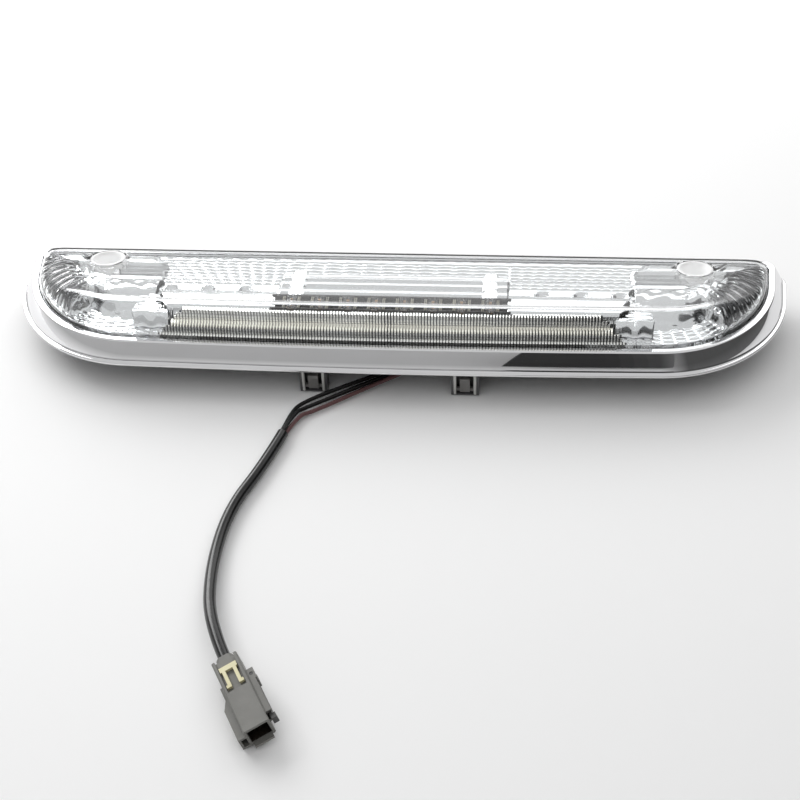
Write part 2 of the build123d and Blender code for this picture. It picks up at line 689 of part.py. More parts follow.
with BuildPart(plug) as connector_housing:
    Box(PLUG_WIDTH, PLUG_LENGTH, PLUG_HEIGHT)
    fillet(edges().filter_by(lambda e: abs(e.length - PLUG_LENGTH) < 0.01), 0.9)
    with Locations((0, front + MOUTH[2] / 2, 0)):
        Box(MOUTH[0], MOUTH[2], MOUTH[1], mode=Mode.SUBTRACT)
    # sloping collar at the back, with the sheath's bore
    with BuildSketch(Plane(origin=plug.from_local_coords((0, back, 0)), x_dir=plug.x_dir, z_dir=plug.y_dir)):
        Circle(4.6)
    extrude(amount=2.6, taper=8)
    with BuildSketch(Plane(origin=plug.from_local_coords((0, back - 3, 0)), x_dir=plug.x_dir, z_dir=plug.y_dir)):
        Circle(SHEATH_DIA / 2 + 0.06)
    extrude(amount=8, mode=Mode.SUBTRACT)
    # recess on top for the lock, open at the back
    with Locations((0, 13, top_z)):
        Box(9.2, 22, 3.6, mode=Mode.SUBTRACT)
    # keying channel along the left side, open at the mouth
    with BuildSketch(plug.offset(-top_z)):
        with BuildLine():
            Polyline(
                (-side_x + 0.4, front),
                (-side_x - 3.6, front),
                (-side_x - 3.6, front + 17),
                (-side_x - 1.2, front + 22),
                (-side_x - 1.2, front + 29),
                (-side_x + 0.4, front + 29),
                close=True,
            )
        make_face()
    extrude(amount=7.6)
    with Locations((-side_x - 2.5, front - 1, -top_z + 1.2)):
        Box(2.5, 16, 5.2, align=low_corner, mode=Mode.SUBTRACT)
    # two rails along the right side, which hold the latch between them
    with Locations((side_x - 0.3, front + 5, 2.5), (side_x - 0.3, front + 5, -3.9)):
        Box(2.9, 25, 1.4, align=low_corner)
    with Locations((side_x - 0.3, front + 24, 2.5), (side_x - 0.3, front + 24, -3.9)):
        Box(3.6, 6, 1.4, align=low_corner)
    with Locations((side_x + 1.7, front + 27, 0)):
        Cylinder(0.9 + RUNNING_FIT, 12, mode=Mode.SUBTRACT)
    # lower lip in front of the mouth
    with Locations((-4.6, front - 2.4, -top_z)):
        Box(9.2, 3.4, 1.3, align=low_corner)
    # slots that hold the blades
    for x in blade_xs:
        with Locations((x, mouth_end + 1.5, 0)):
            Box(1.5, 3, 0.64, mode=Mode.SUBTRACT)
save(connector_housing, "connector_housing")

with BuildPart(plug) as connector_lock:
    with Locations((-4.2, 13.6, top_z - 1.7)):
        Box(8.4, 2.6, 1.5, align=low_corner)
    for x in (-3.4, 1.8):
        with Locations((x, 4.4, top_z - 1.7)):
            Box(1.6, 9.6, 1.5, align=low_corner)
    for x in (-4.2, 3.4):
        with Locations((x, 4.4, top_z - 1.7)):
            Box(0.8, 1.6, 1.5, align=low_corner)
save(connector_lock, "connector_lock")

with BuildPart(plug) as connector_latch:
    with Locations((side_x + 1.0, front + 1.6, -2.1)):
        Box(1.3, 25.4, 4.2, align=low_corner)
    with Locations((side_x + 1.0, front + 1.6, -2.1)):
        Box(2.5, 2.6, 4.2, align=low_corner)
    with Locations((side_x + 1.7, front + 27, 0)):
        Cylinder(1.4, 4.2)
        Cylinder(0.9, 7.4)
save(connector_latch, "connector_latch")

with BuildPart(plug) as connector_seal:
    with Locations((0, mouth_end - 1, 0)):
        Box(MOUTH[0], 2, MOUTH[1])
        Box(MOUTH[0] - 1.6, 2, MOUTH[1] - 1.6, mode=Mode.SUBTRACT)
save(connector_seal, "connector_seal")

with BuildPart(plug) as connector_terminals:
    for x in blade_xs:
        with Locations((x, mouth_end - 2, 0)):
            Box(1.5, 10, 0.64)
save(connector_terminals, "connector_terminals")

# ---- Pigtail: three wires from the grommet, gathered in a sheath that ends in the connector ----------------
PLUG_AXIS = Vector(sin(heading), -cos(heading), 0)
plug_entry = plug.from_local_coords((0, back - 2.6, 0))
last_bend = plug_entry - PLUG_AXIS * 28
SHEATH_START = Vector(-53.4, -81.2, 3.1)
SHEATH_ROUTE = [
    SHEATH_START,
    Vector(-60, -105.5, 3.1),
    Vector(-73, -138, 3.1),
    Vector(-75.5, -178, 3.1),
    last_bend,
    plug_entry,
]
sheath_axis = (SHEATH_ROUTE[1] - SHEATH_ROUTE[0]).normalized()
last_wire_bend = SHEATH_START - sheath_axis * 16
# where each wire bends under the housing's near edge, and where it bends down to the sheath
WIRE_BENDS = [((-17, -38), (-46.5, -54.2)), ((-12, -39.5), (-44.5, -59)), ((-7.5, -40), (-40, -62))]


def wire_route(lane, end_side, end_rise):
    """One wire's corner points: out of the grommet, down to the ground, past the foot and into the sheath."""
    across = sheath_axis.cross(Vector(0, 0, 1))
    return [
        Vector(GROMMET_X + 4 * lane, cover_near - 1.7, GROMMET_Z),
        Vector(GROMMET_X + 4 * lane, cover_near - 17, GROMMET_Z - 0.8),
        Vector(*WIRE_BENDS[lane + 1][0], 3.6),
        Vector(*WIRE_BENDS[lane + 1][1], 1.3),
        last_wire_bend + across * end_side * 1.9 + Vector(0, 0, end_rise * 0.6),
        SHEATH_START - sheath_axis * 0.2 + across * end_side + Vector(0, 0, end_rise),
    ]


def bend_radii(route):
    """The radius at each corner, as large as the shorter of its two runs allows."""
    radii = []
    for before, here, after in zip(route, route[1:], route[2:]):
        incoming = here - before
        outgoing = after - here
        half_turn = radians(incoming.get_angle(outgoing)) / 2
        radii.append(0.45 * min(incoming.length, outgoing.length) / tan(half_turn))
    return radii


cords = {
    "wire_brake": (wire_route(-1, 1.2, -0.66), WIRE_DIA),
    "wire_ground": (wire_route(0, 0, 1.33), WIRE_DIA),
    "wire_cargo": (wire_route(1, -1.2, -0.66), WIRE_DIA),
    "wire_sheath": (SHEATH_ROUTE, SHEATH_DIA),
}
for name, (route, diameter) in cords.items():
    radii = bend_radii(route)
    with BuildPart() as cord:
        with BuildLine() as path:
            FilletPolyline(*route, radius=radii)
        with BuildSketch(Plane(origin=path.line @ 0, z_dir=path.line % 0)):
            Circle(diameter / 2)
        sweep(path=path.line)
    save(cord, name)
    print("  length", round(path.wire().length, 1), "tightest bend", round(min(radii), 1), "for diameter", diameter)
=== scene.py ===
"""Looks for the third brake light: optics, plating, plastics, pigtail and studio, in the CAD's frame.

The lamp's pieces are worked out in millimetres and scaled as they are made. The camera and the studio are
in metres.
"""

import math

import bmesh
import bpy
from mathutils import Matrix, Vector


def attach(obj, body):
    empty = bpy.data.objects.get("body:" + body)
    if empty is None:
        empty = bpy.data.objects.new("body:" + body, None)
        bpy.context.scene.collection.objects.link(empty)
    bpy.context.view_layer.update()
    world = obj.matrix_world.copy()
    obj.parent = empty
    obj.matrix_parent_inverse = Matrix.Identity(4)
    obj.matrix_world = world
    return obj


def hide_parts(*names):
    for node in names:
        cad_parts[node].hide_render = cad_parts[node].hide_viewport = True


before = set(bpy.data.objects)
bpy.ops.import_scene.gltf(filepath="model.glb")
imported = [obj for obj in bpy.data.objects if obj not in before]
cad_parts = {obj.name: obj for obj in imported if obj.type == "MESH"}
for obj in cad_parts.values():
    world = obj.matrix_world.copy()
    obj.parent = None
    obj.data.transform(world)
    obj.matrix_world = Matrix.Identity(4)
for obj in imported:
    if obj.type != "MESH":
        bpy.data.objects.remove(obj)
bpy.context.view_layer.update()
MM = 0.001
scene = bpy.context.scene
scene.view_settings.view_transform = "Standard"

# ---- Camera --------------------------------------------------------------------------------------
CAMERA_AZIMUTH = 6.03
CAMERA_ELEVATION = 41.5
CAMERA_ROLL = -2.56
CAMERA_DISTANCE = 0.8133
CAMERA_TARGET = Vector((0.0062, -0.0490, 0.0))
CAMERA_LENS = 67.5


def aim(azimuth, elevation, roll):
    """Rotation of a camera at this azimuth and elevation, and the direction from its target back to it."""
    az, el, ro = math.radians(azimuth), math.radians(elevation), math.radians(roll)
    back = Vector((math.sin(az) * math.cos(el), -math.cos(az) * math.cos(el), math.sin(el)))
    right = Vector((math.cos(az), math.sin(az), 0.0))
    up = back.cross(right)
    across = right * math.cos(ro) + up * math.sin(ro)
    above = up * math.cos(ro) - right * math.sin(ro)
    return Matrix((across, above, back)).transposed(), back


turn, back = aim(CAMERA_AZIMUTH, CAMERA_ELEVATION, CAMERA_ROLL)
camera_data = bpy.data.cameras.new("camera")
camera_data.lens = CAMERA_LENS
camera_data.clip_start = 0.01
camera_data.clip_end = 20
camera = bpy.data.objects.new("camera", camera_data)
camera.matrix_world = Matrix.Translation(CAMERA_TARGET + back * CAMERA_DISTANCE) @ turn.to_4x4()
scene.collection.objects.link(camera)
scene.camera = camera


# ---- Materials: how they are made ----------------------------------------------------------------
def principled(mat):
    return mat.node_tree.nodes["Principled BSDF"]


def material(name, color, rough, metal=0.0, **sockets):
    """A Principled material with uniform sockets. Detail is added to it afterwards."""
    mat = bpy.data.materials.new(name)
    mat.use_nodes = True
    inputs = principled(mat).inputs
    inputs["Base Color"].default_value = (*color, 1)
    inputs["Roughness"].default_value = rough
    inputs["Metallic"].default_value = metal
    for key, value in sockets.items():
        inputs[key.replace("_", " ")].default_value = value
    return mat


def coords(mat):
    """Object coordinates, which stay on the piece as it moves."""
    return mat.node_tree.nodes.new("ShaderNodeTexCoord").outputs["Object"]


def noise(mat, scale, detail=3.0, rough=0.5):
    node = mat.node_tree.nodes.new("ShaderNodeTexNoise")
    node.inputs["Scale"].default_value = scale
    node.inputs["Detail"].default_value = detail
    node.inputs["Roughness"].default_value = rough
    mat.node_tree.links.new(coords(mat), node.inputs["Vector"])
    return node.outputs["Fac"]


def spread(mat, value, low, high, start=0.3, stop=0.7):
    """Takes a value's range from start to stop onto low to high."""
    node = mat.node_tree.nodes.new("ShaderNodeMapRange")
    for key, number in zip(("From Min", "From Max", "To Min", "To Max"), (start, stop, low, high)):
        node.inputs[key].default_value = number
    mat.node_tree.links.new(value, node.inputs["Value"])
    return node.outputs["Result"]


def vary_rough(mat, value, low, high):
    mat.node_tree.links.new(spread(mat, value, low, high), principled(mat).inputs["Roughness"])


def vary_color(mat, value, dark, light):
    ramp = mat.node_tree.nodes.new("ShaderNodeValToRGB")
    for element, color, position in zip(ramp.color_ramp.elements, (dark, light), (0.3, 0.7)):
        element.color = (*color, 1)
        element.position = position
    mat.node_tree.links.new(value, ramp.inputs["Fac"])
    mat.node_tree.links.new(ramp.outputs["Color"], principled(mat).inputs["Base Color"])


def bump(mat, value, strength, distance):
    node = mat.node_tree.nodes.new("ShaderNodeBump")
    node.inputs["Strength"].default_value = strength
    node.inputs["Distance"].default_value = distance
    mat.node_tree.links.new(value, node.inputs["Height"])
    mat.node_tree.links.new(node.outputs["Normal"], principled(mat).inputs["Normal"])


def clear_plastic(name, tint, rough, **sockets):
    """Clear moulded plastic with faint flow marks."""
    mat = material(name, tint, rough, **{"Transmission_Weight": 1.0, "IOR": 1.5, **sockets})
    bump(mat, noise(mat, 90, 2), 0.04, 0.0006)
    vary_rough(mat, noise(mat, 260, 4), rough, rough + 0.03)
    return mat


def plating(name, tint, rough, ripple, wear=0.06):
    """Bright metal or metal plating, slightly rippled, with uneven wear of its polish."""
    mat = material(name, tint, rough, 1.0)
    bump(mat, noise(mat, 60, 2), ripple, 0.0008)
    vary_rough(mat, noise(mat, 300, 5), rough, rough + wear)
    return mat


def moulded(name, dark, light, rough, grain=0.25, coat=0.0, **sockets):
    """Opaque plastic, rubber or foam with a fine grain and slightly mottled colour."""
    mat = material(name, light, rough, Coat_Weight=coat, Coat_Roughness=0.12, **sockets)
    vary_color(mat, noise(mat, 45, 6, 0.6), dark, light)
    bump(mat, noise(mat, 2600, 3), grain, 0.00012)
    vary_rough(mat, noise(mat, 420, 4), rough - 0.06, rough + 0.08)
    return mat


# Heights on the light guide, in metres, and the painted glow there: emitted light standing in for the
# highlights on its fingers
PAINTED_GLOW_STOPS = (
    (0.0220, (0.0, 0.0, 0.0)), (0.0272, (0.0, 0.0, 0.0)), (0.0277, (0.70, 0.70, 0.68)),
    (0.0286, (0.0, 0.0, 0.0)), (0.0305, (0.0, 0.0, 0.0)), (0.0321, (0.03, 0.03, 0.03)),
    (0.0328, (0.48, 0.465, 0.41)), (0.0341, (0.50, 0.485, 0.425)), (0.0345, (0.08, 0.08, 0.08)),
    (0.0380, (0.06, 0.06, 0.06)), (0.0390, (0.02, 0.02, 0.02)), (0.0420, (0.12, 0.12, 0.12)),
)


def light_guide_painted_glow(name):
    """Pale plating of the light guide's fingers, with painted glow by height standing in for their
    highlights.
    """
    mat = material(name, (0.93, 0.925, 0.90), 0.16, 0.75, Emission_Strength=1.0)
    vary_color(mat, noise(mat, 60, 3), (0.88, 0.87, 0.82), (0.96, 0.96, 0.94))
    vary_rough(mat, noise(mat, 400, 3), 0.12, 0.24)
    nodes, links = mat.node_tree.nodes, mat.node_tree.links
    split = nodes.new("ShaderNodeSeparateXYZ")
    links.new(coords(mat), split.inputs["Vector"])
    low, high = PAINTED_GLOW_STOPS[0][0], PAINTED_GLOW_STOPS[-1][0]
    ramp = nodes.new("ShaderNodeValToRGB")
    elements = ramp.color_ramp.elements
    while len(elements) < len(PAINTED_GLOW_STOPS):
        elements.new(0.5)
    for element, (height, color) in zip(elements, PAINTED_GLOW_STOPS):
        element.position = (height - low) / (high - low)
        element.color = (*color, 1)
    links.new(spread(mat, split.outputs["Z"], 0, 1, low, high), ramp.inputs["Fac"])
    links.new(ramp.outputs["Color"], principled(mat).inputs["Emission Color"])
    return mat


# ---- Materials: the lamp -------------------------------------------------------------------------
LENS_CLEAR = clear_plastic("lens_clear", (0.97, 0.98, 0.985), 0.012)
OPTIC_CLEAR = clear_plastic("optic_clear", (0.95, 0.965, 0.97), 0.02)
# Clear cups with a faint white emission: painted glow standing in for light scattered into them
WELL_CLEAR_PAINTED_GLOW = clear_plastic(
    "well_clear", (0.99, 0.99, 0.99), 0.10,
    IOR=1.2, Transmission_Weight=0.45, Emission_Strength=0.15, Emission_Color=(1, 1, 1, 1),
)
PIPE_AMBER = clear_plastic("light_pipe_amber", (0.62, 0.36, 0.17), 0.05)
BEZEL_CHROME = plating("bezel_chrome", (0.79, 0.79, 0.80), 0.012, 0.006, 0.012)
REFLECTOR_CHROME = plating("reflector_chrome", (0.93, 0.935, 0.94), 0.08, 0.10)
OPTIC_PLATED = plating("optic_plated", (0.90, 0.905, 0.91), 0.07, 0.05)
# Dark plating of the slivers between the end flutes: painted shade
PAINTED_FAN_SHADE = plating("painted_fan_shade", (0.16, 0.16, 0.165), 0.22, 0.05)
# Light guide plating with painted glow: it emits light that stands in for highlights on its fingers
GUIDE_PAINTED_GLOW = light_guide_painted_glow("bead_plated")
# Dark sheet behind the light guide: painted shade for the gaps between its fingers
BAND_PAINTED_SHADE = moulded("band_painted_shade", (0.02, 0.02, 0.021), (0.045, 0.045, 0.046), 0.35, 0.1)
MASK = moulded("mask_dark", (0.008, 0.006, 0.005), (0.028, 0.022, 0.017), 0.30, 0.05)
PIPE_CAP = moulded("pipe_cap_amber", (0.32, 0.15, 0.05), (0.62, 0.38, 0.18), 0.18, 0.05, 0.8)
BAR_IVORY = moulded("pipe_bar_ivory", (0.55, 0.50, 0.40), (0.78, 0.74, 0.62), 0.3, 0.1, 0.4)
LED_AMBER = moulded("led_amber", (0.55, 0.24, 0.05), (0.85, 0.50, 0.16), 0.25, 0.05, 0.6)
LED_YELLOW = moulded("led_yellow", (0.75, 0.60, 0.16), (0.90, 0.80, 0.32), 0.30, 0.05, 0.5)
BOARD = moulded("board_white", (0.55, 0.56, 0.54), (0.72, 0.73, 0.71), 0.38, 0.1)
CHIP = moulded("chip_black", (0.01, 0.01, 0.01), (0.03, 0.03, 0.03), 0.35, 0.1)
JUMPER = moulded("jumper_red", (0.25, 0.015, 0.01), (0.42, 0.03, 0.02), 0.40, 0.1)
HOUSING_GREY = moulded("housing_grey", (0.055, 0.055, 0.058), (0.085, 0.085, 0.088), 0.42)
FOOT_GREY = moulded("foot_grey", (0.13, 0.125, 0.12), (0.19, 0.185, 0.18), 0.35)
# Pale glossy bars on the feet: painted highlights
FOOT_HIGHLIGHT = moulded("foot_highlight_grey", (0.42, 0.42, 0.40), (0.62, 0.62, 0.60), 0.2, 0.1, 0.6)
FOAM = moulded("foam_black", (0.012, 0.012, 0.012), (0.03, 0.03, 0.03), 0.9, 1.0)
SEALANT = moulded("sealant", (0.30, 0.30, 0.30), (0.42, 0.42, 0.42), 0.4, 0.5)
RUBBER = moulded("rubber_black", (0.010, 0.010, 0.010), (0.022, 0.022, 0.022), 0.55, 0.4)
VENT = moulded("vent_white", (0.55, 0.55, 0.53), (0.72, 0.72, 0.70), 0.7, 0.8)
STEEL = plating("steel", (0.88, 0.88, 0.87), 0.38, 0.10)

# ---- Materials: the pigtail ----------------------------------------------------------------------
CONNECTOR = moulded("connector_grey", (0.145, 0.143, 0.132), (0.205, 0.202, 0.188), 0.46, 0.45)
LATCH = moulded("latch_grey", (0.035, 0.035, 0.034), (0.07, 0.07, 0.068), 0.42, 0.3)
IVORY = moulded("lock_ivory", (0.66, 0.61, 0.36), (0.80, 0.76, 0.52), 0.40, 0.15)
SEAL = moulded("seal_silicone", (0.16, 0.05, 0.02), (0.28, 0.10, 0.04), 0.5, 0.2)
BRASS = plating("terminal_brass", (0.72, 0.62, 0.40), 0.25, 0.1)
WIRE_BLACK = moulded(
    "wire_black", (0.004, 0.004, 0.004), (0.010, 0.010, 0.010), 0.34, 0.08, Specular_IOR_Level=0.3,
)
WIRE_BROWN = moulded(
    "wire_brown", (0.085, 0.035, 0.037), (0.15, 0.07, 0.07), 0.36, 0.08, 0.2, Specular_IOR_Level=0.3,
)
SHEATH = moulded("sheath_black", (0.003, 0.003, 0.003), (0.008, 0.008, 0.008), 0.18, 0.06)

CAD_LOOKS = (
    (LENS_CLEAR, ("outer_lens", "screw_wells")),
    (OPTIC_CLEAR, ("ribbed_optic", "edge_optic")),
    (PIPE_AMBER, ("light_pipes",)),
    (MASK, ("pipe_mask",)),
    (BEZEL_CHROME, ("chrome_bezel",)),
    (REFLECTOR_CHROME, (
        "brake_reflector", "cargo_reflector_left", "cargo_reflector_right",
        "end_reflector_left", "end_reflector_right", "trim_panel_left", "trim_panel_right",
    )),
    (HOUSING_GREY, ("rear_housing", "wiring_cover")),
    (FOOT_GREY, ("snap_tongue_left", "snap_tongue_right")),
    (SEALANT, ("lens_sealant",)),
    (FOAM, ("gasket_foam",)),
    (RUBBER, ("wire_grommet",)),
    (VENT, ("vent_cap",)),
    (STEEL, ("screw_sleeves", "cover_screws", "board_screws")),
    (BOARD, ("brake_board", "cargo_board_left", "cargo_board_right")),
    (CHIP, ("board_resistors",)),
    (JUMPER, ("jumper_wires",)),
    (LED_AMBER, ("brake_leds",)),
    (LED_YELLOW, ("cargo_leds_left", "cargo_leds_right")),
    (CONNECTOR, ("connector_housing",)),
    (IVORY, ("connector_lock",)),
    (LATCH, ("connector_latch",)),
    (SEAL, ("connector_seal",)),
    (BRASS, ("connector_terminals",)),
    (WIRE_BLACK, ("wire_brake", "wire_ground")),
    (WIRE_BROWN, ("wire_cargo",)),
    (SHEATH, ("wire_sheath",)),
)
for look, nodes in CAD_LOOKS:
    for node in nodes:
        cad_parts[node].data.materials.clear()
        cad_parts[node].data.materials.append(look)

# ---- Pigtail -------------------------------------------------------------------------------------
WIRE_DIAMETER, SHEATH_DIAMETER = 2.2, 6.0


def cord(name, look, node, points, diameter):
    """A round cord along one smooth spline, replacing its CAD tube."""
    curve = bpy.data.curves.new(name, "CURVE")
    curve.dimensions = "3D"
    spline = curve.splines.new("NURBS")
    spline.points.add(len(points) - 1)
    for point, place in zip(spline.points, points):
        point.co = (*(v * MM for v in place), 1)
    spline.order_u = 3
    spline.use_endpoint_u = True
    spline.resolution_u = 24
    curve.bevel_depth = diameter / 2 * MM
    curve.bevel_resolution = 6
    curve.use_fill_caps = True
    curve.materials.append(look)
    obj = bpy.data.objects.new(name, curve)
    scene.collection.objects.link(obj)
    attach(obj, "lamp")
    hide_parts(node)


cord(
    "brake_wire", WIRE_BLACK, "wire_brake",
    [
        (10, -9.7, 6.4), (10, -25, 5.6), (-17, -38, 3.6), (-46.5, -54.2, 1.3),
        (-51.41, -65.16, 2.7), (-54.51, -80.69, 2.44),
    ],
    WIRE_DIAMETER,
)
cord(
    "ground_wire", WIRE_BLACK, "wire_ground",
    [
        (14, -9.7, 6.4), (14, -25, 5.6), (-12, -39.5, 3.6), (-44.5, -59, 1.3),
        (-49.21, -65.76, 3.9), (-53.35, -81.01, 4.43),
    ],
    WIRE_DIAMETER,
)
cord(
    "cargo_wire", WIRE_BROWN, "wire_cargo",
    [
        (18, -9.7, 6.4), (18, -25, 5.6), (-7.5, -40, 3.6), (-40, -62, 1.3),
        (-47.01, -66.36, 2.7), (-52.19, -81.32, 2.44),
    ],
    WIRE_DIAMETER,
)
cord(
    "cable_sheath", SHEATH, "wire_sheath",
    [
        (-53.4, -81.2, 3.1), (-60, -105.5, 3.1), (-73, -138, 3.1), (-75.5, -178, 3.1),
        (-69.05, -216.45, 7.9), (-55.48, -240.94, 7.9),
    ],
    SHEATH_DIAMETER,
)

# ---- The lamp's outline and the lens's form, as in the CAD ---------------------------------------
NEAR, FAR = -47.0, 47.0
BOW_RADIUS, BOW_HALF = 5000.0, 145.0
CORNER_RADIUS, CORNER_END = 76.0, math.radians(84)
FAR_FILLET = 8.0
LENS_INSET, LENS_WALL = 11.5, 2.5
LEDGE_Z, LENS_MID_Z, LENS_FOOT_Z = 27.6, 24.0, 19.4
WALL_RISE = 22.4 / 10.0               # rise of the lens's wall for each millimetre in
FACE_Y, FACE_Z = -26.0, 47.5          # a point on the lens's sloping face
FACE_TAN = math.tan(math.radians(12))
END_X, END_Z = 208.5, 31.0            # a point on the slope at each end
END_TAN = math.tan(math.radians(22))
FACE_SKIN, END_SKIN = 1.02, 1.08      # depth straight down for each millimetre of skin under those slopes
END_BLEND, CREST_BLEND = 3.0, 5.0     # rounding from the face to an end slope, and from either to the wall
SCREWS = (("left", -166.0, 26.0), ("right", 166.0, 26.0))

# Samples along each stretch of half an outline, and to each flute
BOW_STEPS, CORNER_STEPS, SIDE_STEPS, FILLET_STEPS, FAR_STEPS = 440, 168, 28, 8, 40
HALF = BOW_STEPS + CORNER_STEPS + SIDE_STEPS + FILLET_STEPS + FAR_STEPS
FLUTE_STEPS = 5            # one fine flute along the near edge
FAN_STEPS = 14             # one of the wide flutes around each end
FAN_FROM = BOW_STEPS + 84
FAN_TO = BOW_STEPS + CORNER_STEPS + SIDE_STEPS


def even(low, high, count):
    """Evenly spaced numbers from low to high, with this many gaps."""
    return [low + (high - low) * i / count for i in range(count + 1)]


def far_edge(inset):
    return min(FAR - 0.1 * inset, FAR + 8.1 - inset)


def half_outline(inset, far=None):
    """Points of the right-hand half of an outline, from the near edge's middle to the far edge's middle."""
    far = far_edge(inset) if far is None else far
    bow_end = math.asin(BOW_HALF / BOW_RADIUS)
    bow_r, corner_r = BOW_RADIUS - inset, CORNER_RADIUS - inset
    bow_centre = NEAR + BOW_RADIUS
    cx = BOW_HALF - CORNER_RADIUS * math.sin(bow_end)
    cy = bow_centre - (BOW_RADIUS - CORNER_RADIUS) * math.cos(bow_end)
    points = []
    for a in even(0, bow_end, BOW_STEPS):
        points.append((bow_r * math.sin(a), bow_centre - bow_r * math.cos(a)))
    for a in even(bow_end, CORNER_END, CORNER_STEPS)[1:]:
        points.append((cx + corner_r * math.sin(a), cy - corner_r * math.cos(a)))
    ex, ey = points[-1]
    fillet = max(1.0, FAR_FILLET - 0.3 * inset)
    reach = fillet * math.tan((math.pi - CORNER_END) / 2)
    run = (far - ey) / math.sin(CORNER_END) - reach
    dx, dy = math.cos(CORNER_END), math.sin(CORNER_END)
    for along in even(0, run, SIDE_STEPS)[1:]:
        points.append((ex + dx * along, ey + dy * along))
    sx, sy = points[-1]
    fx, fy = sx - dy * fillet, sy + dx * fillet
    for a in even(CORNER_END, math.pi, FILLET_STEPS)[1:]:
        points.append((fx + fillet * math.sin(a), fy - fillet * math.cos(a)))
    for x in even(points[-1][0], 0, FAR_STEPS)[1:]:
        points.append((x, far))
    return points


def loop(half):
    """The whole closed outline from its right-hand half, anticlockwise from the middle of the near edge."""
    return half + [(-x, y) for x, y in reversed(half[1:-1])]


def signed_step(i):
    """Sample number counted from the middle of the near edge, the same on both sides."""
    return i if i <= HALF else 2 * HALF - i


def soft_min(a, b, k):
    """The smaller number, rounded off where the two are within k of each other."""
    h = max(k - abs(a - b), 0.0) / k
    return min(a, b) - h * h * k / 4


def face_z(y, drop):
    """Height of the lens's face at y, or of a surface that far below it."""
    return FACE_Z - (y - FACE_Y) * FACE_TAN - drop


def lens_z(x, y, inset, skin=0.0):
    """Height of the lens's outer side, or of a surface that far inside it."""
    wall = LEDGE_Z + max(inset - LENS_INSET - skin, 0.0) * WALL_RISE
    end = END_Z + (END_X - abs(x)) * END_TAN - skin * END_SKIN
    top = soft_min(face_z(y, skin * FACE_SKIN), end, END_BLEND)
    return soft_min(wall, top, CREST_BLEND)


RING_GAP, WALL_RINGS, RIM_RINGS, CLOSING_RINGS = 0.45, 22, 6, 14
MIDLINE_HALF, MIDLINE_Y = 158.0, 6.0      # the line that the rings close towards
CLOSED = 0.995                            # how far they close: the last ring is a narrow loop around it
CLOSING_INSET = 24.0                      # inset added over the closing rings


def lens_rings(skin):
    """Rings of (x, y, inset) from the lens's edge in to a narrow loop around its middle line."""
    start = LENS_INSET + skin
    insets = [start + RING_GAP * i for i in range(WALL_RINGS)]
    insets += [start + RING_GAP * (WALL_RINGS + 2 * i) for i in range(1, RIM_RINGS + 1)]
    rings = [[(x, y, inset) for x, y in loop(half_outline(inset))] for inset in insets]
    last = rings[-1]
    for t in even(0, CLOSED, CLOSING_RINGS)[1:]:
        ring = []
        for x, y, inset in last:
            mid = max(-MIDLINE_HALF, min(MIDLINE_HALF, x))
            ring.append((x + (mid - x) * t, y + (MIDLINE_Y - y) * t, inset + CLOSING_INSET * t))
        rings.append(ring)
    return rings


# ---- How meshes are made -------------------------------------------------------------------------
def mesh_piece(name, verts, faces, look, smooth=True, replaced=()):
    """A mesh object on the lamp, from points in millimetres."""
    mesh = bpy.data.meshes.new(name)
    mesh.from_pydata([(x * MM, y * MM, z * MM) for x, y, z in verts], [], faces)
    mesh.materials.append(look)
    obj = bpy.data.objects.new(name, mesh)
    scene.collection.objects.link(obj)
    bm = bmesh.new()
    bm.from_mesh(mesh)
    bmesh.ops.remove_doubles(bm, verts=bm.verts, dist=1e-6)
    bmesh.ops.recalc_face_normals(bm, faces=bm.faces)
    bm.to_mesh(mesh)
    bm.free()
    if smooth:
        mesh.shade_smooth()
    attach(obj, "lamp")
    if replaced:
        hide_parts(*replaced)
    return obj


def strips(rings, count, closed, offset=0, flip=False):
    """Quads between successive rings of the same number of points."""
    faces = []
    for r in range(rings - 1):
        for i in range(count if closed else count - 1):
            a = offset + r * count + i
            b = offset + r * count + (i + 1) % count
            quad = (a, b, b + count, a + count)
            faces.append(quad[::-1] if flip else quad)
    return faces


def turned_piece(name, cx, cy, profile, count, look, replaced=()):
    """A closed profile turned about an upright axis. A height of None is just under the top of the lens."""
    verts = []
    for radius, height in profile:
        for i in range(count):
            a = 2 * math.pi * i / count
            x, y = cx + radius * math.cos(a), cy + radius * math.sin(a)
            verts.append((x, y, lens_z(x, y, 40) - 0.1 if height is None else height))
    return mesh_piece(name, verts, strips(len(profile), count, True), look, replaced=replaced)


def slab(name, rows, thick, look, replaced=()):
    """A sheet through rows of points, with this thickness straight down and closed edges."""
    count = len(rows[0])
    verts = [point for row in rows for point in row]
    under = len(verts)
    verts += [(x, y, z - thick) for x, y, z in verts]
    faces = strips(len(rows), count, False) + strips(len(rows), count, False, under, True)
    edge = list(range(count)) + [r * count + count - 1 for r in range(1, len(rows))]
    edge += [(len(rows) - 1) * count + i for i in range(count - 2, -1, -1)]
    edge += [r * count for r in range(len(rows) - 2, 0, -1)]
    for a, b in zip(edge, edge[1:] + edge[:1]):
        faces.append((b, a, a + under, b + under))
    return mesh_piece(name, verts, faces, look, replaced=replaced)


def window(value, low, high, soft):
    """1 between low and high, falling to 0 over soft inside each end."""
    rise = min(max((value - low) / soft, 0.0), 1.0)
    fall = min(max((high - value) / soft, 0.0), 1.0)
    return rise * rise * (3 - 2 * rise) * fall * fall * (3 - 2 * fall)


def pillow(t):
    """0 at both ends of a cell and 1 in its middle."""
    return 1 - (2 * t - 1) ** 2


def cut(obj, cutters):
    """Cuts closed shapes out of a closed piece."""
    for cutter in cutters:
        mod = obj.modifiers.new("cut", "BOOLEAN")
        mod.operation = "DIFFERENCE"
        mod.solver = "EXACT"
        mod.object = cutter
    graph = bpy.context.evaluated_depsgraph_get()
    mesh = bpy.data.meshes.new_from_object(obj.evaluated_get(graph))
    obj.modifiers.clear()
    old = obj.data
    obj.data = mesh
    bpy.data.meshes.remove(old)


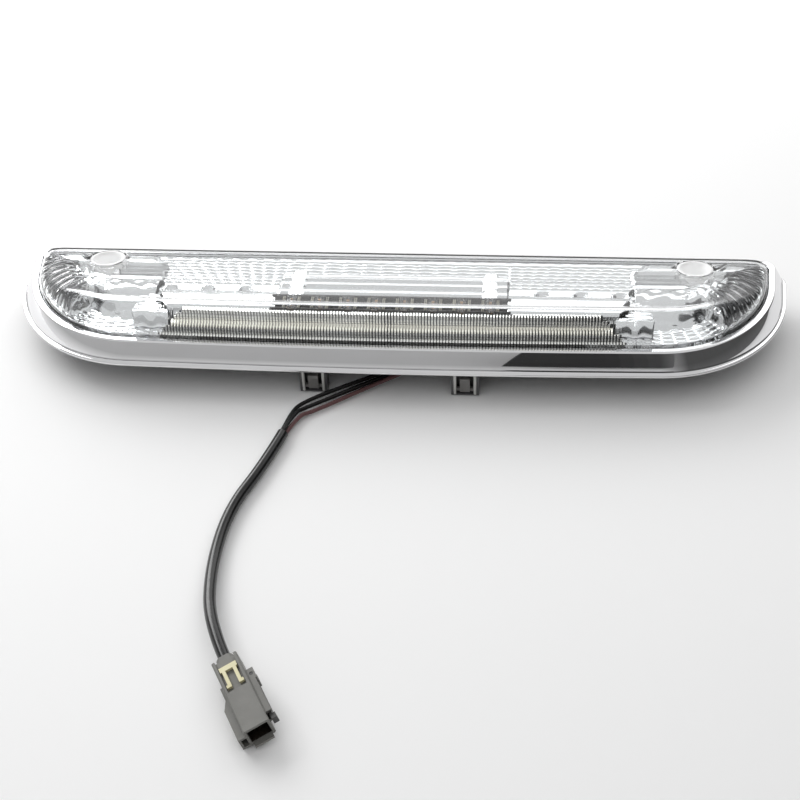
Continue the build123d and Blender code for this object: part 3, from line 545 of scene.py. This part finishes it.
def well_cutter(x, y, radius, low, high):
    """An upright cylinder around a screw, to cut with. It is removed once everything is cut."""
    mesh = bpy.data.meshes.new("cutter")
    bm = bmesh.new()
    bmesh.ops.create_cone(
        bm, cap_ends=True, segments=64, radius1=radius * MM, radius2=radius * MM, depth=(high - low) * MM,
        matrix=Matrix.Translation((x * MM, y * MM, (low + high) / 2 * MM)),
    )
    bm.to_mesh(mesh)
    bm.free()
    obj = bpy.data.objects.new("cutter", mesh)
    scene.collection.objects.link(obj)
    return obj


# ---- Outer lens ----------------------------------------------------------------------------------
# Smooth outside. Inside are fine flutes along the near wall and a fan of wide ones at each end.
FINE_FLUTE, WIDE_FLUTE = 0.2, 0.7     # how deep they are


def lens_piece():
    outer = lens_rings(0)
    inner = lens_rings(LENS_WALL)
    count = len(outer[0])
    rows = []
    for ring in reversed(inner):
        row = []
        for i, (x, y, inset) in enumerate(ring):
            step = signed_step(i)
            z = lens_z(x, y, inset, LENS_WALL)
            fine = window(abs(x), -1, 128, 6) * window(z, 26, 43.5, 1.5) if step <= BOW_STEPS else 0.0
            wave = 0.5 + 0.5 * math.cos(2 * math.pi * step / FLUTE_STEPS)
            fan = window(step, FAN_FROM, FAN_TO, 8) * window(inset, 14.3, 32, 3.0)
            broad = 1 - abs(math.cos(math.pi * step / FAN_STEPS))
            row.append((x, y + FINE_FLUTE * fine * wave, z - WIDE_FLUTE * fan * broad))
        rows.append(row)
    rows += [[(x, y, z) for x, y, inset in inner[0]] for z in (LENS_MID_Z, LENS_FOOT_Z)]
    rows += [[(x, y, z) for x, y, inset in outer[0]] for z in (LENS_FOOT_Z, LENS_MID_Z)]
    rows += [[(x, y, lens_z(x, y, inset)) for x, y, inset in ring] for ring in outer]
    faces = strips(len(rows), count, True)
    faces += [tuple(range(count)), tuple((len(rows) - 1) * count + i for i in range(count))]
    verts = [point for row in rows for point in row]
    return mesh_piece("lens", verts, faces, LENS_CLEAR, replaced=("outer_lens",))


lens_cutters = [well_cutter(x, y, 10.05, 22.5, 62.5) for side, x, y in SCREWS]
cut(lens_piece(), lens_cutters)

# ---- Screw wells: clear cups whose rims follow the lens, each on its sleeve's flange -------------
WELL_PROFILE = (
    (3.4, 20.7), (9.6, 20.7), (10.0, 21.1), (10.0, None), (8.02, None), (8.0, 23.4), (7.3, 22.6),
    (3.8, 22.5), (3.4, 22.1), (3.4, 20.7),
)
FLANGE_PROFILE = (
    (3.1, 20.1), (9.3, 20.1), (9.5, 20.3), (9.3, 20.6), (5.0, 20.64), (3.3, 20.6), (3.1, 20.4), (3.1, 20.1),
)
for side, x, y in SCREWS:
    turned_piece("screw_well_" + side, x, y, WELL_PROFILE, 72, WELL_CLEAR_PAINTED_GLOW, ("screw_wells",))
    turned_piece("sleeve_flange_" + side, x, y, FLANGE_PROFILE, 64, STEEL)

# ---- Bezel: lip bead, sloping band and ledge -----------------------------------------------------
# Each point is an inset, a height and the Y of the far edge, or None where that follows from the inset.
LIP = (
    (0.35, 16.0, FAR - 0.2), (0.05, 16.15, FAR), (0.0, 16.5, FAR), (0.0, 16.9, FAR), (0.12, 17.3, FAR - 0.05),
    (0.45, 17.55, FAR - 0.1), (1.1, 17.64, FAR - 0.12), (2.0, 17.68, FAR - 0.13), (2.35, 17.95, FAR - 0.14),
)
BAND_START, BAND_RUN = (2.4, 18.1), (4.95, 8.9)     # the sloping band's foot, and how far it goes in and up
BAND_POINTS = 12
BAND_BULGE = (-0.86 * 0.3, 0.5 * 0.3)               # how far it is rounded outwards at its middle
LEDGE = (
    (7.35, 27.0, None), (7.62, 27.36, None), (8.0, 27.56, None), (8.6, 27.6, None), (10.7, 27.6, None),
    (11.05, 27.5, None), (11.2, 27.2, None), (11.2, 26.0, None), (11.0, 25.8, None),
)
UNDERSIDE = (
    (8.9, 25.8, FAR - 1.95), (5.5, 21.5, FAR - 1.87), (3.2, 17.2, FAR - 1.8), (3.0, 16.0, FAR - 1.8),
    (0.35, 16.0, FAR - 0.2),
)


def bezel_piece():
    band = []
    for i in range(1, BAND_POINTS):
        t = i / BAND_POINTS
        inset, z = (BAND_START[k] + BAND_RUN[k] * t + BAND_BULGE[k] * pillow(t) for k in (0, 1))
        band.append((inset, z, None))
    profile = [*LIP, *band, *LEDGE, *UNDERSIDE]
    verts = [(x, y, z) for inset, z, far in profile for x, y in loop(half_outline(inset, far))]
    faces = strips(len(profile), len(verts) // len(profile), True)
    mesh_piece("bezel", verts, faces, BEZEL_CHROME, replaced=("chrome_bezel",))


bezel_piece()

# ---- Cargo lamps and the brake lamp's reflector: plated sheets with pillow facets ----------------
SHEET = 0.9                # how thick the plated sheets are
SHEET_FOOT_Z = 20.5
CELL_SAMPLES = 10          # samples across one facet
ZONE_CELLS = 12            # facets across one lamp
FACET_PITCH = 4.15
FACET_SAMPLES = 8
FACET_DROP = 8.0           # the facets' depth below the lens's face
CARGO_START = 63.2         # the cargo lamps' inner ends
CUP_XS, CUP_Y = (82.0, 103.0, 124.0), -1.0
CUP_RADIUS, CUP_DEPTH = 4.2, 2.6
SHELF_Z = 33.2
PANEL_Z = 38.6


def cargo_end(y):
    """How far from the middle a cargo lamp's slanting outer end is at y."""
    return 129.0 + max(0.0, y - 5) * 0.84 - max(0.0, -7 - y) * 0.5


def cells(low, high):
    """Places across one lamp, each with where it is in its cell, from 0 to 1."""
    places = even(low, high, ZONE_CELLS * CELL_SAMPLES)
    return [(x, (i % CELL_SAMPLES) / CELL_SAMPLES) for i, x in enumerate(places)]


def facet_rows(column, rows, y0):
    """Rows of pillow facets from y0 towards the far edge. column(y) gives the cells at y."""
    lines = []
    for r in range(rows):
        for v in even(0, 1, FACET_SAMPLES):
            y = y0 + FACET_PITCH * (r + 0.04 + 0.92 * v)
            base = face_z(y, FACET_DROP) + 0.35 * v + 0.60 * pillow(v)
            bulge = 0.55 * (0.4 + 0.6 * pillow(v))
            lines.append([(x, y, base + bulge * pillow(u)) for x, u in column(y)])
    return lines


def cargo_zone(name, side, replaced):
    """One cargo lamp: facets, a shelf with three cups, and a flat bright panel beside the near edge."""

    def column(y):
        return cells(side * CARGO_START, side * cargo_end(y))

    def level(y, z):
        return [(x, y, z) for x, u in column(y)]

    lines = [[(x, 34.6, SHEET_FOOT_Z) for x, u in column(34.3)]]
    lines += facet_rows(column, 7, 5.2)[::-1]
    for y in even(5.0, -7.0, 15):
        line = []
        for x, u in column(y):
            near = min(math.hypot(abs(x) - cup, y - CUP_Y) for cup in CUP_XS)
            if near < CUP_RADIUS:
                rise = -CUP_DEPTH * (1 - (near / CUP_RADIUS) ** 2)
            else:
                rise = 0.9 * window(near, CUP_RADIUS, 5.6, 0.6)
            line.append((x, y, SHELF_Z + rise))
        lines.append(line)
    lines.append(level(-7.4, PANEL_Z))
    for t in even(0, 1, 10):
        y = -8.0 - 12.5 * t
        lines.append([(x, y, PANEL_Z + 1.1 * pillow(t) + 0.05 * math.sin(0.21 * x)) for x, u in column(y)])
    lines += [level(-20.8, 38.4), level(-21.0, 24.0)]
    slab(name, lines, SHEET, REFLECTOR_CHROME, replaced)


def brake_facets():
    def column(y):
        return cells(-64.0, 64.0)

    lines = [[(x, 34.9, SHEET_FOOT_Z) for x, u in column(34.9)]]
    lines += facet_rows(column, 4, 18.0)[::-1]
    lines.append([(x, 17.8, 30.0) for x, u in column(17.8)])
    slab("brake_facets", lines, SHEET, REFLECTOR_CHROME, ("brake_reflector",))


cargo_zone("cargo_optics_left", -1, ("cargo_reflector_left", "trim_panel_left"))
cargo_zone("cargo_optics_right", 1, ("cargo_reflector_right", "trim_panel_right"))
brake_facets()

# ---- Brake ribs: three broad rounded ribs, with a fluted bracket near each end -------------------
RIBS = ((13.6, 4.0), (5.6, 4.0), (-3.6, 5.0))     # middle and half width of each rib
RIB_RISE = 0.66                                   # its height for each millimetre of half width
BRACKET_XS = (49.0, 57.5)
BRACKET_RISE, BRACKET_FLUTE, BRACKET_PITCH = 3.4, 0.35, 2.1


def brake_ribs():
    xs = even(-63, 63, 168)
    lines = [[(x, 17.7, 27.0) for x in xs]]
    for middle, half in RIBS:
        for a in even(0.04 * math.pi, 0.96 * math.pi, 12):
            line = []
            for x in xs:
                bracket = window(abs(x), *BRACKET_XS, 1.2)
                flute = BRACKET_FLUTE * bracket * math.cos(2 * math.pi * x / BRACKET_PITCH)
                rise = RIB_RISE * half * math.sin(a) * (1 - bracket) + (BRACKET_RISE + flute) * bracket
                line.append((x, middle + half * math.cos(a), 33.0 - 0.12 * middle + rise))
            lines.append(line)
    lines.append([(x, -8.9, 30.0) for x in xs])
    slab("brake_ribs", lines, SHEET, OPTIC_PLATED, ("ribbed_optic",))


brake_ribs()

# ---- Brake strip: the dark mask, the light pipes' caps and the pale bars beside them -------------
LED_COUNT, LED_PITCH = 8, 15.4
CAP_Y, CAP_FOOT_Z = -17.2, 37.9
CAP_RADII, CAP_SHOULDER_Z, CAP_RISE = (2.9, 2.6), 39.2, 1.9
CAP_SEGMENTS, CAP_RINGS = 24, 8
BAR_LANES = (3.6, 4.5)         # from the middle of the cap
BAR_PATH = ((-13.6, 39.4), (-14.2, 40.5), (-20.2, 41.1), (-20.8, 40.0))
BAR_RADIUS, BAR_SEGMENTS = 0.3, 8
PIPE_XS = [(k - (LED_COUNT - 1) / 2) * LED_PITCH for k in range(LED_COUNT)]


def mask_strip():
    """A dark bar with a hollow halfway between each two light pipes, and fine ticks around each pipe."""
    xs = even(-65, 65, 390)
    lines = [[(x, -11.4, 36.0) for x in xs]]
    for y in even(-11.5, -22.5, 19):
        line = []
        for x in xs:
            off = abs((x / LED_PITCH + 0.5) % 1 - 0.5) * LED_PITCH
            hollow = window(off, -1, 4.9, 0.7) * window(y, -20.9, -13.4, 0.7)
            tick = window(off, 5.2, 7.4, 0.5) * (0.5 + 0.5 * math.cos(2 * math.pi * x / 1.1))
            tick *= window(y, -21.5, -12.5, 0.8)
            line.append((x, y, 40.6 - 0.1 * (y + 17) - 1.9 * hollow + 0.7 * tick))
        lines.append(line)
    lines.append([(x, -22.8, 37.0) for x in xs])
    slab("mask_strip", lines, 0.8, MASK, ("pipe_mask",))


def pipe_caps():
    """An amber dome on each light pipe, down to a level foot."""
    verts, faces = [], []
    for cx in PIPE_XS:
        start = len(verts)
        heights = [(CAP_FOOT_Z, 1.0)]
        for tilt in even(0, math.pi / 2, CAP_RINGS - 1):
            heights.append((CAP_SHOULDER_Z + CAP_RISE * math.sin(tilt), math.cos(tilt)))
        for z, reach in heights:
            for i in range(CAP_SEGMENTS):
                a = 2 * math.pi * i / CAP_SEGMENTS
                x = cx + CAP_RADII[0] * reach * math.cos(a)
                verts.append((x, CAP_Y + CAP_RADII[1] * reach * math.sin(a), z))
        faces += strips(len(heights), CAP_SEGMENTS, True, start)
        faces.append(tuple(start + i for i in range(CAP_SEGMENTS)))
    mesh_piece("pipe_caps", verts, faces, PIPE_CAP)


def pipe_bars():
    """Two pale bars on each side of every cap."""
    verts, faces = [], []
    for cx in PIPE_XS:
        for offset in [side * lane for side in (-1, 1) for lane in BAR_LANES]:
            start = len(verts)
            for y, z in BAR_PATH:
                for i in range(BAR_SEGMENTS):
                    a = 2 * math.pi * i / BAR_SEGMENTS
                    verts.append((cx + offset + BAR_RADIUS * math.cos(a), y, z + BAR_RADIUS * math.sin(a)))
            faces += strips(len(BAR_PATH), BAR_SEGMENTS, True, start)
            for ring in (0, len(BAR_PATH) - 1):
                faces.append(tuple(start + ring * BAR_SEGMENTS + i for i in range(BAR_SEGMENTS)))
    mesh_piece("pipe_bars", verts, faces, BAR_IVORY)


mask_strip()
pipe_caps()
pipe_bars()

# ---- Light guide along the near edge: steps of narrow fingers, in front of a dark sheet of painted shade ---
FINGER_PITCH, FINGER_HALF = 1.65, 0.46
# Each step's lower height, upper height, inset of its upright face and inset at the back of its tread
BAND_STEPS = (
    (22.6, 28.3, 15.0, 16.0), (28.3, 30.4, 16.0, 16.6), (30.4, 32.4, 16.6, 17.3), (32.4, 34.2, 17.5, 20.6),
    (34.2, 36.2, 20.6, 20.9), (36.2, 38.2, 20.9, 21.2), (38.2, 40.4, 21.2, 24.0),
)
# Places across a finger, in half widths, and how much it is rounded off there
FINGER_ROUNDING = ((-1, 0.30), (-0.7, 0.06), (0, 0), (0.7, 0.06), (1, 0.30))


def band_reach(z):
    """How far from the middle the light guide runs at this height."""
    return min(132.0, 112.0 + (41.8 - z) * 1.1)


def bow_y(x, inset):
    """Y of the bowed near edge of an outline."""
    return NEAR + BOW_RADIUS - math.sqrt((BOW_RADIUS - inset) ** 2 - x * x)


def finger(x, z0, z1, face, back, start):
    """Points and faces of one finger: an upright face and a level tread."""
    outline = (
        (face - 0.45, z0 + 0.15), (face - 0.45, z1 - 0.35), (face - 0.2, z1), (back, z1 + 0.04),
        (back, z1 - 1.0), (face + 0.5, z1 - 1.0), (face + 0.5, z0 + 0.15),
    )
    count = len(outline)
    verts = []
    for across, rounding in FINGER_ROUNDING:
        px = x + across * FINGER_HALF
        for i, (inset, z) in enumerate(outline):
            front = rounding if i < 3 else 0.0
            top = rounding if i in (1, 2, 3) else 0.0
            verts.append((px, bow_y(px, inset + front), z - top))
    faces = strips(len(FINGER_ROUNDING), count, True, start)
    for ring in (0, len(FINGER_ROUNDING) - 1):
        faces.append(tuple(start + ring * count + i for i in range(count)))
    return verts, faces


def fluted_band():
    verts, faces = [], []
    fingers = int(134 / FINGER_PITCH)
    for k in range(-fingers, fingers + 1):
        x = k * FINGER_PITCH
        for z0, z1, face, back in BAND_STEPS:
            if abs(x) <= band_reach(z1):
                more_verts, more_faces = finger(x, z0, z1, face, back, len(verts))
                verts += more_verts
                faces += more_faces
    mesh_piece(
        "fluted_band", verts, faces, GUIDE_PAINTED_GLOW, smooth=False, replaced=("edge_optic",),
    )


# Painted shade: a dark sheet that darkens the gaps between the light guide's fingers
def band_painted_shade():
    rows = []
    for z0, z1, face, back in BAND_STEPS:
        reach = band_reach(z1)
        for inset, z in ((face + 0.7, z0 - 0.55), (face + 0.7, z1 - 0.6), (back, z1 - 0.55)):
            rows.append([(x, bow_y(x, inset), z) for x in even(-reach, reach, 120)])
    slab("band_painted_shade", rows, 0.5, BAND_PAINTED_SHADE)


fluted_band()
band_painted_shade()

# ---- Ends: fans of plated flutes, and low rippled sheets beside the light guide ------------------
END_DEPTH = 4.2                # the end sheets' rings, inside the lens's outer side
END_FOOT_Z = 22.2
LOW_Z, LOW_INSET = 26.4, 29.0      # the low sheets are level up to this inset, and rise beyond it


def end_piece(name, side, first, last, deepest, replaced=()):
    """Plated sheet between two places on the outline, from its rim in to this inset."""
    rows = []
    for ring in lens_rings(END_DEPTH):
        if ring[0][2] > deepest:
            break
        row = []
        for step in range(first, last + 1):
            x, y, inset = ring[step if side > 0 else 2 * HALF - step]
            broad = 1 - abs(math.cos(math.pi * step / FAN_STEPS + 0.6))
            fan = 3.0 * broad * window(inset, 15.5, 36, 4) * window(step, FAN_FROM - 20, FAN_TO + 8, 20)
            blocks = math.copysign(1.1, math.sin(inset * 1.15)) * window(inset, 25, 44, 2)
            swirl = math.sin(step * 0.16 + 1.7 * math.sin(inset * 0.35)) * window(inset, 27, 70, 3)
            high = max(END_FOOT_Z, lens_z(x, y, inset, 5.6) - fan + blocks + 0.35 * swirl)
            ripple = 0.35 * math.sin(inset * 1.9) * math.sin(step * 0.22)
            low = LOW_Z + ripple + max(0.0, inset - LOW_INSET) * 0.9 + 0.5 * swirl
            beside = 1 - window(step, FAN_FROM - 14, math.inf, 16)
            row.append((x, y, min(high, low) * beside + high * (1 - beside)))
        rows.append(row)
    rows.insert(0, [(x, y, END_FOOT_Z) for x, y, z in rows[0]])
    return slab(name, rows, SHEET, REFLECTOR_CHROME, replaced)


SHADE_INSET, SHADE_GAP, SHADE_LENGTH = 16.5, 1.1, 18      # where the shades start, and their rows


def painted_fan_shades(name, side):
    """Slender dark slivers between the flutes of one end, pointed at both ends: painted shade for the dark
    streaks there.
    """
    insets = [SHADE_INSET + SHADE_GAP * i for i in range(SHADE_LENGTH + 1)]
    outlines = [half_outline(inset) for inset in insets]
    verts, faces = [], []
    for n, step in enumerate(range(FAN_FROM - 10, FAN_TO + 14, FAN_STEPS // 2)):
        last = 10 + (n * 5) % 9
        widest = 0.60 + 0.22 * ((n * 3) % 4)
        rows = []
        for i in range(last + 1):
            (x0, y0), (x1, y1) = outlines[i][step], outlines[i][step + 1]
            along = math.hypot(x1 - x0, y1 - y0) or 1.0
            half = widest * (0.06 + pillow(0.15 + 0.85 * i / last))
            for across in (-1, 0, 1):
                shift = half * across / along
                x, y = x0 + (x1 - x0) * shift, y0 + (y1 - y0) * shift
                rows.append((side * x, y, lens_z(x, y, insets[i], 3.4) - 0.5 * abs(across)))
        start = len(verts)
        under = start + len(rows)
        verts += rows + [(x, y, z - 0.8) for x, y, z in rows]
        faces += strips(last + 1, 3, False, start) + strips(last + 1, 3, False, under, True)
        edge = [0, 1] + [3 * r + 2 for r in range(last + 1)] + [3 * last + 1]
        edge += [3 * r for r in range(last, 0, -1)]
        for a, b in zip(edge, edge[1:] + edge[:1]):
            faces.append((start + b, start + a, under + a, under + b))
    mesh_piece(name, verts, faces, PAINTED_FAN_SHADE)


def wing(name, side):
    """The rippled plated facet beside a cargo lamp's slanting end."""
    lines = []
    for y in even(36.0, -24.8, 76):
        inner, outer = cargo_end(y) + 0.4, 154.0 if y > -7 else 141.0
        line = []
        for i, x in enumerate(even(inner, outer, 20)):
            ripple = 0.6 * math.sin(y * 0.9 + 2.2 * math.sin(i * 0.31)) * pillow(i / 20)
            line.append((side * x, y, lens_z(140, y, 60, 8.5) + ripple))
        lines.append(line)
    lines.append([(x, y - 0.3, 22.4) for x, y, z in lines[-1]])
    slab(name, lines, SHEET, REFLECTOR_CHROME)


def far_shelf():
    """The bright level strip along the far edge."""
    rows = []
    for y, z in ((40.4, 20.5), (40.3, 26.2), (38.6, 26.6), (36.8, 26.6), (35.3, 26.9), (35.1, 20.5)):
        rows.append([(x, y, z + 0.12 * math.sin(i * 1.3)) for i, x in enumerate(even(-196, 196, 196))])
    slab("far_shelf", rows, 0.8, REFLECTOR_CHROME)


END_STEPS = BOW_STEPS - 38, FAN_TO + FILLET_STEPS + 12
RETURN_STEPS = BOW_STEPS - 120, BOW_STEPS - 37
SIDES = ((-1, "left"), (1, "right"))
end_cutters = [well_cutter(x, y, 10.15, 14.5, 54.5) for side, x, y in SCREWS]
for (side, word), cutter in zip(SIDES, end_cutters):
    cut(end_piece("end_flutes_" + word, side, *END_STEPS, 80, ("end_reflector_" + word,)), [cutter])
for side, word in SIDES:
    end_piece("band_return_" + word, side, *RETURN_STEPS, 23.5)
    wing("cargo_wing_" + word, side)
    painted_fan_shades("painted_fan_shades_" + word, side)
far_shelf()
for cutter in lens_cutters + end_cutters:
    bpy.data.objects.remove(cutter)

# ---- Tray: a plated floor under all the optics ---------------------------------------------------
TRAY_INSET, TRAY_Z = 16.6, 19.3
TRAY_MIDDLE = (150.0, 4.0)         # half length of the line that its rings close on, and the line's Y


def tray():
    rim = loop(half_outline(TRAY_INSET))[::6]
    rows = []
    for t in (0, 0.08, 0.16, 0.3, 0.5, 0.75, 1.0):
        row = []
        for x, y in rim:
            mid = max(-TRAY_MIDDLE[0], min(TRAY_MIDDLE[0], x))
            px, py = x + (mid - x) * t, y + (TRAY_MIDDLE[1] - y) * t
            row.append((px, py, TRAY_Z + 0.25 * math.sin(px * 0.35) * math.sin(py * 0.5)))
        rows.append(row + row[:1])
    slab("plated_tray", rows, 0.5, REFLECTOR_CHROME)


tray()

# ---- Feet: the two pale bars on each, painted highlights for glints on the housing's ribs --------
FOOT_BAR_XS, FOOT_BAR_Y = (-46.6, -35.8, 35.8, 46.6), -44.1
FOOT_BAR_RINGS = ((0.9, 0.35), (1.3, 0.8), (8.0, 0.8), (15.0, 0.8), (15.8, 0.35))     # height, half width
FOOT_BAR_SEGMENTS = 12


def foot_highlight_bars():
    verts, faces = [], []
    for x in FOOT_BAR_XS:
        start = len(verts)
        for z, half in FOOT_BAR_RINGS:
            for i in range(FOOT_BAR_SEGMENTS):
                a = 2 * math.pi * i / FOOT_BAR_SEGMENTS
                verts.append((x + half * math.cos(a), FOOT_BAR_Y + half * 0.7 * math.sin(a), z))
        faces += strips(len(FOOT_BAR_RINGS), FOOT_BAR_SEGMENTS, True, start)
        for ring in (0, len(FOOT_BAR_RINGS) - 1):
            faces.append(tuple(start + ring * FOOT_BAR_SEGMENTS + i for i in range(FOOT_BAR_SEGMENTS)))
    mesh_piece("foot_highlight_bars", verts, faces, FOOT_HIGHLIGHT)


foot_highlight_bars()

# ---- Connector: a dark sheet inside the mouth, painted shade for its dark inside -----------------
PLUG_CENTRE = Vector((-46.8, -256.6, 7.9))
PLUG_HEADING, PLUG_ROLL = math.radians(29.0), math.radians(14.0)
MOUTH_FRONT, MOUTH_SHADE_BACK = -20.1, -7.0             # along the plug, from its centre
MOUTH_SHADE_OUTER, MOUTH_SHADE_INNER = (4.97, 4.07), (4.75, 3.85)     # half width and half height
SIDE_SAMPLES = 10


def mouth_painted_shade():
    axis = Vector((-math.sin(PLUG_HEADING), math.cos(PLUG_HEADING), 0))
    across = Vector((
        math.cos(PLUG_HEADING) * math.cos(PLUG_ROLL), math.sin(PLUG_HEADING) * math.cos(PLUG_ROLL),
        math.sin(PLUG_ROLL),
    ))
    up = across.cross(axis)
    count = 4 * SIDE_SAMPLES
    rings = (
        (MOUTH_SHADE_OUTER, MOUTH_FRONT), (MOUTH_SHADE_OUTER, MOUTH_SHADE_BACK), (MOUTH_SHADE_INNER, MOUTH_SHADE_BACK),
        (MOUTH_SHADE_INNER, MOUTH_FRONT),
    )
    verts = []
    for (half_width, half_height), along in rings:
        for i in range(count):
            side, t = divmod(i, SIDE_SAMPLES)
            t = 2 * t / SIDE_SAMPLES - 1
            u, w = ((t, -1), (1, t), (-t, 1), (-1, -t))[side]
            verts.append(tuple(PLUG_CENTRE + across * u * half_width + axis * along + up * w * half_height))
    last = 3 * count
    faces = strips(len(rings), count, True)
    faces += [(last + i, last + (i + 1) % count, (i + 1) % count, i) for i in range(count)]
    # The dark sheet in the mouth is painted shade, in the mask's dark material
    mesh_piece("mouth_painted_shade", verts, faces, MASK, smooth=False)


mouth_painted_shade()

# ---- Studio, in metres ---------------------------------------------------------------------------
KEY_WATTS, FILL_WATTS = 17.5, 4.2
WORLD_LEVEL = 0.68
FLOOR_HALF, FLOOR_Z = 3.0, -0.0004
WALL_HEIGHTS = (0.0, 0.05, 0.12, 0.25, 0.85)
WALL_RADII, WALL_CENTRE_Y = (1.3, 1.25), 0.08
WALL_ANGLES = (-110.0, 122.0)
CARD_FOOT, CARD_TOP = (-1.08, 0.23), (-0.98, 0.70)      # Y and Z of the cards' lower and upper edges
DARK_CARD_XS, DARK_CARD_SLANT, DARK_CARD_GREY = (0.070, 0.22), 0.033, 0.02
FADE_CARDS, FADE_WIDTH = 14, 0.02                       # paler and paler cards beside the dark one
FADE_START_GREY, FADE_STEP_GREY = 0.022, 0.0085


def stage_piece(name, verts, faces, look, in_view):
    """A piece of the studio. The plating reflects it, whether or not the camera sees it."""
    mesh = bpy.data.meshes.new(name)
    mesh.from_pydata(verts, [], faces)
    mesh.materials.append(look)
    obj = bpy.data.objects.new(name, mesh)
    obj.visible_camera = in_view
    scene.collection.objects.link(obj)


def floor():
    signs = ((-1, -1), (1, -1), (1, 1), (-1, 1))
    corners = [(sx * FLOOR_HALF, sy * FLOOR_HALF, FLOOR_Z) for sx, sy in signs]
    stage_piece("floor", corners, [(0, 1, 2, 3)], material("floor_white", (0.93, 0.93, 0.93), 0.9), True)


def sweep_wall():
    """A curved grey wall on the near side, paler where it meets the floor and darker towards the right."""
    angles = [math.radians(a) for a in even(*WALL_ANGLES, 48)]
    verts = [
        (WALL_RADII[0] * math.sin(a), WALL_CENTRE_Y - WALL_RADII[1] * math.cos(a), z)
        for z in WALL_HEIGHTS for a in angles
    ]
    look = material("wall_grey", (0.46, 0.46, 0.46), 0.9)
    nodes, links = look.node_tree.nodes, look.node_tree.links
    split = nodes.new("ShaderNodeSeparateXYZ")
    links.new(coords(look), split.inputs["Vector"])
    by_height = spread(look, split.outputs["Z"], 0.9, 0.46, 0.0, 0.26)
    by_side = spread(look, split.outputs["X"], 1.0, 0.16, 0.30, 0.70)
    both = nodes.new("ShaderNodeMath")
    both.operation = "MULTIPLY"
    links.new(by_height, both.inputs[0])
    links.new(by_side, both.inputs[1])
    links.new(both.outputs["Value"], principled(look).inputs["Base Color"])
    stage_piece("sweep_wall", verts, strips(len(WALL_HEIGHTS), len(angles), False), look, False)


def near_card(name, left, right, slant, grey):
    """A card in front of the wall, between two places along X. Its left edge slants by this much."""
    corners = [(left, *CARD_FOOT), (right, *CARD_FOOT), (right, *CARD_TOP), (left + slant, *CARD_TOP)]
    stage_piece(name, corners, [(0, 1, 2, 3)], material(name, (grey, grey, grey), 0.9), False)


def softbox(name, place, width, height, watts):
    """A rectangular light that points at the middle of the lamp."""
    data = bpy.data.lights.new(name, "AREA")
    data.shape = "RECTANGLE"
    data.size = width
    data.size_y = height
    data.energy = watts
    light = bpy.data.objects.new(name, data)
    light.location = place
    light.rotation_euler = (-Vector(place)).to_track_quat("-Z", "Y").to_euler()
    scene.collection.objects.link(light)


floor()
softbox("back_softbox", (-0.92, 0.78, 0.80), 1.5, 0.7, KEY_WATTS)
softbox("back_fill", (0.32, 1.12, 0.86), 1.5, 0.8, FILL_WATTS)
sweep_wall()
near_card("dark_card", *DARK_CARD_XS, DARK_CARD_SLANT, DARK_CARD_GREY)
for i in range(FADE_CARDS):
    left = DARK_CARD_XS[1] + FADE_WIDTH * i
    near_card(f"fade_card_{i}", left, left + FADE_WIDTH, 0, FADE_START_GREY + FADE_STEP_GREY * i)
world = bpy.data.worlds.new("studio")
world.use_nodes = True
world.node_tree.nodes["Background"].inputs["Color"].default_value = (1, 1, 1, 1)
world.node_tree.nodes["Background"].inputs["Strength"].default_value = WORLD_LEVEL
scene.world = world
